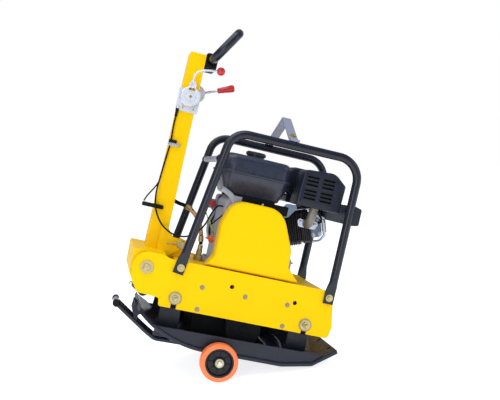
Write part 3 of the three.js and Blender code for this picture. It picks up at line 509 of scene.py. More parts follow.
def add_base_plate():
    body = "machine"
    sole = slab("plate_sole", plate_outline(), -225, 225, 2.2)
    holes = [turned("cutter", [(0, 40), (6, 40), (6, 110), (0, 110)], (372, y, 0), (0, 0, 1), 24)
             for y in (-170, -45, 80)]
    corners = [slab("cutter", [(-300, side * 145), (-300, side * 235), (-215, side * 235)], -5, 130, 0, "Z")
               for side in (NEAR, FAR)]
    sole = carve(sole, *holes, *corners)
    dress(soften(sole, 1.0, 2), "iron", body, "base_plate")
    rib = outline([(-213, 40), (-160, 24), (-100, 9), (-50, 6), (211, 6), (310, 24), (358, 60, 4),
                   (-213, 55, 4)])
    for name, side in SIDES:
        low, high = sorted((side * 217, side * 207))
        dress(slab(f"plate_rib_{name}", rib, low, high, 1.5), "iron", body)
        for end, x, z in MOUNTS:
            ear = outline([(x - 38, 8), (x + 38, 8), (x + 30, z + 34, 20), (x - 30, z + 34, 20)])
            y = side * 130
            dress(slab(f"mount_bracket_{end}_{name}", ear, y - 5, y + 5, 1.2), "iron", body)
        for i, offset in enumerate((-15, 15)):
            y = side * TROLLEY_ARM + offset
            lug = outline([(-282, 92), (-284, 58, 6), (-268, 42, 8), (-250, 56, 6), (-248, 70)])
            dress(slab(f"trolley_lug_{name}_{i}", lug, y - 3, y + 3, 1), "iron", body)
        y = side * TROLLEY_ARM
        pin = turned(f"trolley_pin_{name}", chamfered(6, y - 20, y + 20, 1), (-268, 0, 56))
        dress(pin, "iron", body)
    for i, x in enumerate((-150, 174)):
        dress(brick(f"plate_cross_rib_{i}", (x - 5, -208, 8), (x + 5, 208, 40), 2), "iron", body)
    dress(brick("exciter_seat", (-92, -112, 8), (165, 112, 15.6), 1), "iron", body)
    # The rear lip's lighter overlay is a painted highlight of the light falling on the black plate's lip,
    # with real wear at its edges.
    edge = [tuple(rear_curve(i / 12)) for i in range(5)]
    sheen_and_wear_band = [(x - 0.4, z - 0.4) for x, z in edge] + [(x + 5, z + 13.2) for x, z in edge[::-1]]
    for name, side in SIDES:
        low, high = sorted((side * 142, side * 12))
        shape = [sheen_and_wear_band[0], sheen_and_wear_band[-1], (-257, 81), (-263, 69)]
        dress(slab(f"rear_lip_edge_{name}", shape, low, high, 0.8), "lip", body)
    web = flowing([(226, -118, 16), (222, -112, 40), (212, -104, 62), (196, -98, 76)], 6)
    rings = [[p + Vector((dx, dy, 0)) for dx, dy in ((-3, -22), (3, -22), (3, 22), (-3, 22))] for p in web]
    dress(loft("exciter_fender", rings), "lip", body)


# ------------------------------------------------------------------ chassis
def panel_outline():
    x, z = MAST_PIVOT
    return outline([(x - 50, z + 50, 49.9), (-322, 186, 30), (-294, 143, 18), (-222, 139, 8),
                    (-218, 113, 8), (353, 113, 12), (360, 150, 16), (344, 242, 14), (312, 268, 8),
                    (-215, 268, 30), (-232, 277, 30)], 14)


def drill(x, z, radius, y0, y1, sides=32):
    return turned("cutter", [(0, y0), (radius, y0), (radius, y1), (0, y1)], (x, 0, z), sides=sides)


def add_panel(name, side):
    low, high = sorted((side * 185, side * PANEL_FACE))
    cutters = [drill(*MAST_PIVOT, 10.5, low - 5, high + 5)]
    for _, x, z in MOUNTS:
        slot = outline([(x - 9, 90), (x + 9, 90), (x + 9, z + 9, 8.9), (x - 9, z + 9, 8.9)])
        cutters.append(slab("cutter", slot, low - 5, high + 5, 0))
    cutters += [drill(x, z, 7, low - 5, high + 5) for x, z in ((3, 218), (219, 207))]
    panel = carve(slab(f"side_panel_{name}", panel_outline(), low, high, 0), *cutters)
    soften(panel, 1.1, 3)
    dress(panel, "yellow", "machine", *(["chassis"] if side == NEAR else []))
    axis = (0, side, 0)
    face = side * PANEL_FACE
    for i, (x, z) in enumerate(((-92, 198), (-93, 126), (52, 195), (195, 196), (194, 125))):
        dress(bolt(f"panel_bolt_{name}_{i}", (x, face, z), axis, 4.6, True, 3.4), "washer", "machine")
    for end, x, z in MOUNTS:
        inner, outer = 135.3, 184.7
        waist = [(34 - 5 * math.sin(math.pi * k / 12), inner + 4 + (outer - inner - 8) * k / 12)
                 for k in range(13)]
        profile = [(0, inner), (33, inner), *waist, (33, outer), (0, outer)]
        # painted shade: the rubber buffers take the near-black of the shade under the panel
        buffer = turned(f"buffer_{end}_{name}", [(r, side * d) for r, d in profile], (x, 0, z))
        dress(buffer, "shade_dark", "machine", f"rubber_mount_{end}_{name}")
        disc = turned(f"buffer_washer_{end}_{name}", chamfered(21, 0, 4, 0.8), (x, face, z), axis)
        dress(disc, "washer", "machine")
        nut = bolt(f"buffer_nut_{end}_{name}", (x, face + side * 4, z), axis, 10, True, 9, 15)
        dress(nut, "zinc", "machine")
    centre = (MAST_PIVOT[0], face, MAST_PIVOT[1])
    washer = turned(f"pivot_washer_{name}", chamfered(19, 0, 3.5, 0.8), centre, axis)
    dress(washer, "washer", "machine")
    head = bolt(f"pivot_bolt_{name}", (MAST_PIVOT[0], face + side * 3.5, MAST_PIVOT[1]), axis, 12, True, 8)
    dress(head, "zinc", "machine")


def add_chassis():
    for name, side in SIDES:
        add_panel(name, side)
    slot = brick("cutter", (-30, -164, DECK - 12), (150, -136, DECK + 4), 0)
    deck = carve(brick("deck", (-190, -185, DECK - 8), (318, 185, DECK), 0), slot)
    dress(soften(deck, 1.5), "yellow", "machine")
    dress(brick("rear_wall", (-190, -185, 190), (-184, 185, DECK - 8), 1.2), "yellow", "machine")
    dress(brick("front_wall", (312, -185, 150), (318, 185, DECK - 8), 1.2), "yellow", "machine")
    shape = outline([(-212, DECK - 1), (-140, DECK - 1), (-150, 322, 10), (-196, 334, 6)])
    lug = slab("lock_lug", shape, -54, -44, 0)
    notch_axis = Vector((-83, 0, 102)).normalized()
    tip = Vector((LOCK_PIN[0], 0, LOCK_PIN[1]))
    across = Vector((notch_axis.z, 0, -notch_axis.x)) * 8.5
    ends = [tip - across, tip + across, tip + across + notch_axis * 60, tip - across + notch_axis * 60]
    notch = slab("cutter", [(p.x, p.z) for p in ends], -60, -40, 0)
    lug = carve(lug, notch, drill(*LOCK_PIN, 8.5, -61, -39))
    dress(soften(lug, 1.2, 2), "yellow", "machine")
    shaft = turned("pivot_shaft", chamfered(10, -183, 183, 1), (MAST_PIVOT[0], 0, MAST_PIVOT[1]))
    dress(shaft, "zinc", "machine", "mast_pivot_bolt")


# ------------------------------------------------------------------ cage
def add_cage_side(name, side):
    """One bent tube whose two ends are pressed flat against the side panel."""
    lean = 61 / 400

    def rear_x(z):
        return -199 + (z - 100) * lean

    foot = 226
    corners = [(rear_x(foot), 0, foot), (rear_x(CAGE_TOP), 0, CAGE_TOP), (331, 0, CAGE_TOP), (327, 0, foot)]
    spots = [Vector(c) for c in corners]
    line = [spots[0].lerp(spots[1], 0.24 * k / 14) for k in range(14)]
    line += arc_corner(*spots[:3], 62, 16) + arc_corner(*spots[1:], 74, 16)
    line += [spots[3].lerp(spots[2], 0.24 * k / 14) for k in range(14)][::-1]
    rings = []
    for spot, heading, _, _ in frames_along(line):
        across = Vector((heading.z, 0, -heading.x))
        rise = min(max((spot.z - foot - 34) / 44, 0), 1)
        flat = 1 - rise * rise * (3 - 2 * rise)
        wide, thick = TUBE * (1 + 0.24 * flat), TUBE * (1 - flat) + 4 * flat
        power = 1 / (1 + 3 * flat)
        ring = []
        for k in range(28):
            a = 2 * math.pi * k / 28
            c, s = math.cos(a), math.sin(a)
            u = math.copysign(abs(c) ** power, c) * wide
            v = math.copysign(abs(s) ** power, s) * thick
            ring.append(spot + across * u + Vector((0, side * (PANEL_FACE + 0.3 + thick + v), 0)))
        rings.append(ring)
    dress(loft(f"cage_tube_{name}", rings, crease=50), "black", "machine", f"cage_{name}")
    for i, (x, z) in enumerate(((-173.5, 246), (327, 246))):
        head = bolt(f"cage_bolt_{name}_{i}", (x, side * (PANEL_FACE + 8.3), z), (0, side, 0), 7, True, 5)
        dress(head, "zinc", "machine")


def add_cage():
    for name, side in SIDES:
        add_cage_side(name, side)
    # painted highlight: the crossbar is black tube, drawn grey for the light on it
    cross = turned("crossbar_tube", chamfered(10.5, -190.5, 190.5, 0.5), (-124, 0, 614), sides=36)
    dress(cross, "grey", "machine", "cage_crossbar")
    for name, side in SIDES:
        low, high = sorted((side * 190.8, side * 183))
        flange = turned(f"crossbar_flange_{name}", chamfered(14.5, low, high, 1.5), (-124, 0, 614))
        dress(flange, "black", "machine")
    crisp("front_guard", 1.2, "black", "machine")
    add_bail()
    for name, side in SIDES:
        for i, z in enumerate((508, 545)):
            fixing = bolt(f"guard_bolt_{name}_{i}", (348, side * 192, z), (1, 0, 0), 5, True, 4)
            dress(fixing, "zinc", "machine")


def add_bail():
    """A flat bar folded to an inverted V over the cage, its peak bent round."""
    foot = CAGE_TOP + TUBE + 0.3
    outer = outline([(-212, foot), (-212, foot + 8, 2), (-187, foot + 8, 14), (0, foot + 93, 26),
                     (187, foot + 8, 14), (212, foot + 8, 2), (212, foot)], 10)
    inner = outline([(212, foot), (183, foot, 12), (0, foot + 83, 18), (-183, foot, 12), (-212, foot)], 10)
    # painted highlight: the bail is black bar, drawn grey for the light on its upper faces
    dress(slab("bail_bar", outer + inner[1:-1], 82, 112, 1.4, "X"), "grey", "machine", "lifting_bail")
    rise = Vector((0, -85, 187)).normalized()
    for name, side in SIDES:
        axis = (0, side * rise.z * 0.45, rise.z)
        fixing = bolt(f"bail_bolt_{name}", (97, side * 160, foot + 20.5), axis, 6, True, 5)
        dress(fixing, "brass", "machine")


# ------------------------------------------------------------------ belt cover
def cover_ring(inset, y):
    low = DECK + 6
    shape = outline([(-96 + inset, low + inset), (-74 + inset, 306, 20), (-76 + inset, 410, 60),
                     (-48 + inset, 495 - inset, 62), (116 - inset, 495 - inset, 74), (172 - inset, 370, 60),
                     (174 - inset, 316, 10), (219 - inset, low + inset)], 14)
    return [(x, y + max(0, 314 - z) * 0.2 * (1 if y < -150 else 0.3), z) for x, z in shape]


def add_belt_cover():
    edge = 9
    rings = [cover_ring(0, -118), cover_ring(0, -150)]
    for k in range(7):
        a = math.pi / 2 * k / 6
        rings.append(cover_ring(edge * (1 - math.cos(a)), -190 + edge * (1 - math.sin(a))))
    size = len(rings[0])
    points = [p for ring in rings for p in ring]
    faces = []
    for i in range(len(rings) - 1):
        for k in range(size):
            n = (k + 1) % size
            faces.append((i * size + k, i * size + n, (i + 1) * size + n, (i + 1) * size + k))
    front = list(range((len(rings) - 1) * size, len(rings) * size))
    upper = [i for i in front if points[i][2] >= 312]
    left, right = upper[0], upper[-1]
    faces.append(tuple(upper))
    faces.append(tuple([left, right] + front[front.index(right) + 1:] + front[:front.index(left)]))
    cover = piece_of("belt_cover_shell", points, faces, 40)
    wall = cover.modifiers.new("wall", "SOLIDIFY")
    wall.thickness = 0.0025
    wall.offset = -1
    dress(cover, "yellow", "machine", "belt_cover")
    for i, (x, z) in enumerate(((-66, 350), (-38, 470), (118, 474), (163, 350))):
        dress(bolt(f"cover_bolt_{i}", (x, -118, z), (0, 1, 0), 5, True, 4), "zinc", "machine")


# ------------------------------------------------------------------ engine
def tank_ring(inset, z, radius=44):
    shape = rounded(-100 + inset, -112 + inset, 141 - inset, 118 - inset, max(6, radius - inset), 10)
    return [(x, y, z) for x, y in shape]


def add_tank():
    rings = []
    for k in range(7):
        a = math.pi / 2 * k / 6
        rings.append(tank_ring(36 - 12 * math.sin(a), 519 - 8 * math.cos(a)))
    rings += [tank_ring(20, 528), tank_ring(7, 558), tank_ring(2, 572), tank_ring(0.5, 582)]
    for inset, z in ((-5, 583), (-6, 584.5), (-6, 589), (-5, 590.5), (0.5, 591.5)):
        rings.append(tank_ring(inset, z))
    rings.append(tank_ring(2, 620))
    for k in range(9):
        a = math.pi / 2 * k / 8
        rings.append(tank_ring(3 + 24 * (1 - math.cos(a)), 626 + 22 * math.sin(a)))
    rings.append(tank_ring(60, 650))
    rings.append(tank_ring(95, 650.6))
    # painted highlight: the tank shell is lighter than the black plastic for the light on its top
    dress(loft("tank_shell", rings, crease=50), "tank", "machine", "fuel_tank")
    for i, y in enumerate((-84, 0, 84)):
        dress(brick(f"tank_rail_{i}", (-56, y - 9, 505), (102, y + 9, 514), 2), "rubber", "machine")
    # painted shade: a thin near-black sheet in front of the crankcase, under the tank, stands for the shade
    # there
    dress(brick("governor_shade", (-12, -101, 476), (150, -97, 508), 1), "shade_dark", "machine")
    sheet = outline([(130, 498), (146, 520, 8), (196, 522, 10), (178, 500, 10), (162, 476, 6), (148, 470)], 6)
    dress(slab("cylinder_sheet", sheet, -78, -75, 1), "cap", "machine")
    neck = turned("tank_neck", [(30, 644), (30, 654), (24, 654)], (14, -30, 0), (0, 0, 1))
    dress(neck, "plastic", "machine")
    profile = [(0, 654.4), (32, 654.4), (33.5, 656), (33.5, 664), (30, 668), (12, 668.6), (0, 668.6)]
    cap = turned("tank_cap_top", profile, (14, -30, 0), (0, 0, 1), 60)
    ribs = []
    for k in range(24):
        a = 2 * math.pi * k / 24
        spot = (14 + 33.2 * math.cos(a), -30 + 33.2 * math.sin(a), 0)
        ribs.append(turned("part", chamfered(1.6, 656, 665, 0.5), spot, (0, 0, 1), 8))
    dress(merged("tank_cap", [cap, *ribs]), "plastic", "fuel_cap", "fuel_cap")


def guard_outline(inset=0):
    return outline([(165 + inset, 524 + inset, 5), (318 - inset, 524 + inset, 5), (322 - inset, 618, 12),
                    (278 - inset, 653 - inset, 44), (172 + inset, 646 - inset, 18)], 10)


def add_muffler():
    hollow = slab("cutter", guard_outline(3), -127, -20, 0)
    cutters = [hollow]
    for x in (184, 240):
        for z in (549, 595):
            for row in range(3):
                shape = rounded(x, z + 13 * row, x + 42, z + 6 + 13 * row, 2.9, 4)
                cutters.append(slab("cutter", shape, -140, -120, 0))
    cutters.append(turned("cutter", [(0, 500), (20, 500), (20, 540), (0, 540)], (242, -88, 0), (0, 0, 1), 24))
    body = slab("part", guard_outline(), -130, -26, 0)
    soften(body, 9, 5, 50)
    guard = carve(merged("muffler_cover", [body]), *cutters)
    dress(guard, "plastic", "machine", "muffler_guard")
    for x in (184, 240):
        for z in (549, 595):
            for row in range(3):
                low = z + 6.5 + 13 * row
                shape = [(x - 1, low), (x + 43, low), (x + 43, low + 1.5), (x - 1, low + 1.5)]
                blade = slab(f"louvre_{x}_{z}_{row}", shape, -133, -127, 0.6)
                dress(blade, "plastic", "machine")
    # painted shade: the muffler can behind the louvres is near-black for the shade inside the guard
    can = slab("muffler_can", rounded(178, 540, 306, 634, 26), -118, -38, 6)
    dress(can, "shade_dark", "machine", "muffler")
    pipe = tube("exhaust_pipe", round_line([(243, -88, 545), (234, -88, 466), (234, -60, 466)], 24), 15.5, 32)
    dress(pipe, "exhaust", "machine")
    flange = slab("exhaust_flange", rounded(202, 452, 268, 480, 10), -64, -60, 1)
    dress(flange, "steel", "machine")
    for i, x in enumerate((209, 261)):
        dress(bolt(f"flange_nut_{i}", (x, -64, 470), (0, -1, 0), 6, True, 6, 8), "steel", "machine")
    line = round_line([(318, -80, 585), (330, -80, 590), (332, -80, 612), (322, -80, 614)], 6)
    hook = tube("guard_hook", line, 2.5, 10)
    dress(hook, "steel", "machine")


def bore_place(x, y, z):
    """A point given along the inclined cylinder, in machine millimetres."""
    c, s = math.cos(CYLINDER_TILT), math.sin(CYLINDER_TILT)
    return (CRANK[0] + x * c - z * s, y, CRANK[1] + x * s + z * c)


def bore_slab(name, shape, y0, y1, edge):
    placed = [(bore_place(x, 0, z)[0], bore_place(x, 0, z)[2]) for x, z in shape]
    return slab(name, placed, y0, y1, edge)


def add_cylinder():
    parts = [bore_slab("part", rounded(104, -46, 200, 46, 6), -44, 44, 2)]
    for k in range(12):
        x = 107.5 + k * 7.8
        y = 58 - (4 if k % 2 else 0)
        parts.append(bore_slab("part", rounded(x, -60, x + 2.4, 60, 1, 2), -y, y, 0.7))
    dress(merged("finned_cylinder", parts), "fins", "machine", "cylinder")
    parts = [bore_slab("part", rounded(200.3, -50, 236, 50, 6), -50, 50, 2)]
    for k in range(4):
        x = 205 + k * 7
        parts.append(bore_slab("part", rounded(x, -57, x + 2.6, 57, 1, 2), -57, 57, 0.7))
    dress(merged("finned_head", parts), "fins", "machine", "cylinder_head")
    cover = bore_slab("head_cover", rounded(232, -44, 276, 24, 12), -36, 36, 4)
    dress(cover, "cap", "machine")
    shape = outline([(108, 62), (230, 62, 10), (262, 44, 10), (290, 18, 10), (290, -30, 2),
                     (288, -30), (288, 17, 8), (261, 42, 8), (229, 60, 8), (108, 60)])
    sheet = bore_slab("cooling_sheet", shape, -50, 56, 0.6)
    dress(sheet, "steel", "machine", "cylinder_shroud")
    shape = outline([(236, 56, 4), (262, 40, 8), (286, 14, 8), (286, -44, 10), (262, -60, 14), (238, -60, 4),
                     (238, -52), (262, -52, 10), (277, -38, 8), (277, 12, 6), (258, 32, 6), (236, 46)])
    rim = bore_slab("cooling_rim", shape, -52, -38, 3)
    dress(rim, "steel", "machine")
    for i, (x, z) in enumerate(((244, -34), (244, 14), (268, -34), (268, 14))):
        dress(bolt(f"head_bolt_{i}", bore_place(x, -36, z), (0, -1, 0), 4.5, True, 4), "steel", "machine")
    profile = [(0, 236), (7, 236), (7, 244), (5, 245), (5, 262), (0, 262)]
    along = (math.cos(CYLINDER_TILT), 0, math.sin(CYLINDER_TILT))
    plug = turned("spark_plug", profile, bore_place(0, -44, 4), along, 6)
    dress(plug, "steel", "machine")
    start, end = bore_place(262, -44, 4), bore_place(150, -70, 66)
    lead = tube("spark_lead", flowing([start, bore_place(274, -52, 12), bore_place(262, -68, 44),
                                       bore_place(220, -64, 68), end]), 3.2, 12)
    dress(lead, "rubber", "machine")


def add_crankcase():
    crisp("crankcase", 3.0, "case", "machine")
    for i, (x, z) in enumerate(((-48, 300), (-48, 420), (-30, 490), (60, 498), (120, 420), (180, 300))):
        dress(bolt(f"case_bolt_{i}", (x, -98, z), (0, -1, 0), 5, False, 5), "steel", "machine")
    for i, (x, y) in enumerate(((-70, -80), (-70, 80), (206, -80), (206, 80))):
        dress(bolt(f"engine_foot_bolt_{i}", (x, y, DECK + 12), (0, 0, 1), 6.5, True, 6), "zinc", "machine")
    for node, body, x, z, sign in (("oil_cap_rear", "oil_cap_rear", -62, 345, -1),
                                   ("oil_cap_front", "oil_cap_front", 203, 320, 1)):
        profile = [(0, 0), (15, 0), (13, 10), (0, 10)]
        boss = turned(f"{node}_boss", profile, (x - sign * 9, 0, z), (sign, 0, 0))
        dress(boss, "aluminium", "machine")
        low, high = sorted((x + sign * 14, x + sign * 27))
        parts = [turned("part", chamfered(12.5, 1.2, 15, 2), (x, 0, z), (sign, 0, 0), 40),
                 slab("part", rounded(low, z - 3, high, z + 3, 2), -12, 12, 1.4)]
        dress(merged(f"{node}_grip", parts), "orange", body, node)


def add_air_side():
    cover = slab("air_filter_cover", rounded(152, 548, 304, 652, 24, 10), 14, 134, 10)
    dress(cover, "plastic", "machine", "air_cleaner")
    dress(slab("air_filter_base", rounded(160, 526, 296, 549, 6), 20, 128, 2), "plastic", "machine")
    for k in range(5):
        rib = slab(f"air_filter_rib_{k}", rounded(172, 566 + 16 * k, 284, 571 + 16 * k, 2.4), 132, 136, 0.8)
        dress(rib, "plastic", "machine")
    crisp("carburettor", 2.0, "aluminium", "machine")
    crisp("choke_lever", 0.8, "plastic", "choke_lever")
    crisp("fuel_valve_lever", 0.8, "plastic", "fuel_valve_lever")


def add_starter_side():
    x, z = CRANK
    crisp("fan_shroud", 2.5, "grey", "machine", 40)
    shell = [(0, 176), (60, 176), (80, 174.5), (87, 170), (91, 163), (92, 154), (92, 145.5)]
    cover = turned("recoil_dome", shell, (x, 0, z), sides=96)
    cutters = []
    for k in range(12):
        a = 2 * math.pi * (k + 0.5) / 12
        mid = Vector((x + 58 * math.cos(a), 0, z + 58 * math.sin(a)))
        along = Vector((math.cos(a), 0, math.sin(a))) * 16
        across = Vector((-math.sin(a), 0, math.cos(a))) * 4
        ends = [mid - along - across, mid + along - across, mid + along + across, mid - along + across]
        cutters.append(slab("cutter", [(p.x, p.z) for p in ends], 165, 185, 0))
    wall = cover.modifiers.new("wall", "SOLIDIFY")
    wall.thickness = 0.003
    wall.offset = -1
    cover = carve(merged("recoil_dome", [cover]), *cutters)
    dress(cover, "grey", "machine", "recoil_cover")
    badge = turned("recoil_centre", [(0, 175), (26, 175), (26, 177.5), (22, 179), (0, 179)], (x, 0, z))
    dress(badge, "plastic", "machine")
    for k in range(3):
        a = math.radians(90 + 120 * k)
        spot = (x + 97 * math.cos(a), 145, z + 97 * math.sin(a))
        dress(bolt(f"recoil_bolt_{k}", spot, (0, 1, 0), 5, True, 4), "zinc", "machine")
    coat("recoil_pulley", "plastic")
    crisp("recoil_handle", 1.2, "plastic", "recoil_handle")
    crisp("engine_switch", 1.0, "red", "engine_switch")
    arm = flowing([(-86, -102, 521), (-68, -103, 515), (-47, -103, 502), (-33, -103, 482), (-24, -103, 452)])
    turns = [math.pi * k / 8 for k in range(16)]
    rings = [[p + Vector((h.z * 9 * math.cos(a), 3 * math.sin(a), -h.x * 9 * math.cos(a))) for a in turns]
             for p, h, _, _ in frames_along(arm)]
    dress(loft("tank_bracket", rings), "case", "machine")


def add_engine():
    add_tank()
    add_muffler()
    add_cylinder()
    add_crankcase()
    add_air_side()
    add_starter_side()
    add_belt_cover()
    # painted shade: the exciter pulley and front shaft take the near-black of the shade under the panel
    for node, finish in (("crankshaft", "steel"), ("clutch_pulley", "steel"), ("flywheel_fan", "aluminium"),
                         ("exciter_pulley", "shade_dark"), ("v_belt", "rubber"), ("exciter_shaft_front", "shade_dark"),
                         ("exciter_shaft_rear", "steel"), ("exciter_gear_front", "steel"),
                         ("exciter_gear_rear", "steel")):
        coat(node, finish)
    # painted shade: the exciter housing is near-black for the shade under the panel
    crisp("exciter_housing", 2.5, "shade_dark", "machine")


# ------------------------------------------------------------------ mast and controls
def add_mast():
    body = "mast"
    crisp("mast", 2.2, "yellow", body, 20)
    u = Vector((math.sin(HANDLE_LEAN), 0, math.cos(HANDLE_LEAN)))
    base = Vector((HANDLE_BASE[0], 0, HANDLE_BASE[1]))
    corners = [base, base + Vector((0, -130, 0)), base + Vector((0, -130, 0)) + u * 118,
               base + Vector((0, 130, 0)) + u * 118, base + Vector((0, 130, 0)), base]
    line = [corners[0]]
    for i in range(1, 5):
        line += arc_corner(corners[i - 1], corners[i], corners[i + 1], 48, 12)
    line.append(corners[5])
    dress(tube("handle_bar", line, 15, 28), "black", body, "handle_loop")
    shape = rounded(-225.3, 900, -184, 958, 9)
    holder = carve(slab("handle_rubber", shape, -38, 38, 0), drill(*HANDLE_BASE, 15.2, -50, 50, 40))
    dress(soften(holder, 2.5), "rubber", body, "handle_block")
    for i, (x, z) in enumerate(((-214, 908), (-193, 908))):
        dress(bolt(f"handle_bolt_{i}", (x, -38, z), (0, -1, 0), 3.5, False, 3), "iron", body)
    x, z = LOCK_PIN
    parts = [turned("part", chamfered(7, -90, -42, 1.5), (x, 0, z)),
             turned("part", [(0, -94), (12.4, -94), (14, -92), (14, -84), (12.6, -83), (14, -82), (14, -80),
                             (12, -78), (0, -78)], (x, 0, z)),
             tube("part", [Vector((x - 4, -90, z)), Vector((x - 48, -90, z - 4))], 2.6, 14)]
    dress(merged("lock_pin_knob", parts), "zinc", "lock_pin", "mast_lock_pin")


def add_controls():
    body = "mast"
    x, z = -253, 795
    profile = [(0, -76), (8, -76), (12, -75), (24, -75.5), (28, -74), (32, -70), (34, -66),
               (34, -56), (32, -54), (32, -50.4), (0, -50.4)]
    dress(turned("throttle_case", profile, (x, 0, z), sides=72), "aluminium", body, "throttle_drum")
    dress(slab("throttle_plate", rounded(-291, 745, -216, 822, 5), -50.3, -45.3, 1), "aluminium", body)
    folds = [(0, 722), (4, 722), (5, 728), (4.2, 730), (5.4, 736), (4.6, 738), (5.8, 744), (5, 750), (0, 750)]
    boot = turned("cable_boot", folds, (-284, -54, 0), (0, 0, 1), 24)
    dress(boot, "rubber", body)
    ferrule = turned("cable_ferrule", chamfered(4.5, 748, 760, 1), (-284, -54, 0), (0, 0, 1), 24)
    dress(ferrule, "steel", body)
    for i, (bx, bz) in enumerate(((-268, 759), (-231, 757))):
        dress(bolt(f"throttle_bolt_{i}", (bx, -50.3, bz), (0, -1, 0), 3, False, 3), "brass", body)
    dial = [(0, -77.4), (31, -77.4), (33, -79), (33, -83.4), (31, -85), (20, -85), (19, -84.2), (16, -84.2),
            (15, -87), (0, -87)]
    dress(turned("throttle_dial", dial, (x, 0, z), sides=72), "aluminium", "throttle_lever")
    window = slab("throttle_window", rounded(x - 11, z + 20, x + 11, z + 28, 2), -86, -84, 0.5)
    dress(window, "brass", "throttle_lever")
    for i, shift in enumerate((-5, 4)):
        mark = turned(f"window_mark_{i}", chamfered(1.8, -87.4, -85, 0.3), (x + shift, 0, z + 27), sides=14)
        dress(mark, "rubber", "throttle_lever")
    dress(bolt("throttle_nut", (x, -87, z), (0, -1, 0), 4.6, False, 4), "brass", "throttle_lever")
    stub = slab("part", outline([(x - 12, z, 1), (x + 12, z, 1), (x + 12, z + 42, 4), (x + 6, z + 54, 4),
                                 (x - 6, z + 54, 4), (x - 12, z + 42, 4)], 4), -83, -79, 1)
    boss = turned("part", [(0, -86), (11, -86), (14, -83), (14, -77.4), (0, -77.4)], (x, 0, z))
    rod_line = flowing([(x - 1, -80, z + 46), (x - 2, -82, z + 64), (x + 3, -84, z + 79),
                        (x + 19, -85, z + 91), (x + 43, -85, z + 98), (x + 72, -85, z + 102)])
    arm = merged("throttle_arm", [stub, boss, tube("part", rod_line, 3.6, 16)])
    dress(arm, "aluminium", "throttle_lever", "throttle_lever")
    ball = [(14 * math.sin(math.pi * k / 20), -14 * math.cos(math.pi * k / 20)) for k in range(21)]
    dress(turned("throttle_ball", ball, (x + 81, -85, z + 104), (1, 0, 0.1), 40, 80), "red", "throttle_lever",
          "throttle_knob")
    x, z = -223, 823
    profile = [(0, 45.4), (28, 45.4), (30, 47), (30, 54), (28, 55.5), (28, 59), (30, 60.5), (30, 68),
               (28, 69.5), (28, 73), (29, 74), (25, 82), (0, 82)]
    outlet = [(0, 778), (9, 778), (9, 786), (11, 788), (11, 802), (0, 802)]
    parts = [turned("part", profile, (x, 0, z), sides=64),
             turned("part", outlet, (x, 62, 0), (0, 0, 1), 6)]
    dress(merged("pump_case", parts), "aluminium", body, "hand_pump")
    for k in range(6):
        a = 2 * math.pi * (k + 0.5) / 6
        spot = (x + 19 * math.cos(a), 81, z + 19 * math.sin(a))
        dress(bolt(f"pump_bolt_{k}", spot, (0, 1, 0), 3, False, 3), "zinc", body)
    parts = [turned("part", chamfered(11, 82.3, 94, 1.5), (x, 0, z)),
             tube("part", round_line([(x, 90, z), (x + 30, 90, z + 14), (x + 78, 92, z + 34)], 14), 4, 16)]
    dress(merged("direction_arm", parts), "steel", "direction_lever", "direction_lever")
    grip = [(0, 0), (8, 0), (9, 1.5), (9.6, 6), (10.8, 26), (13, 50), (12.8, 56), (10.5, 59.5), (0, 60)]
    lean = (math.cos(0.39), 0, math.sin(0.39))
    dress(turned("direction_handle", grip, (x + 74.5, 92, z + 32.2), lean, 40, 60), "red", "direction_lever",
          "direction_grip")


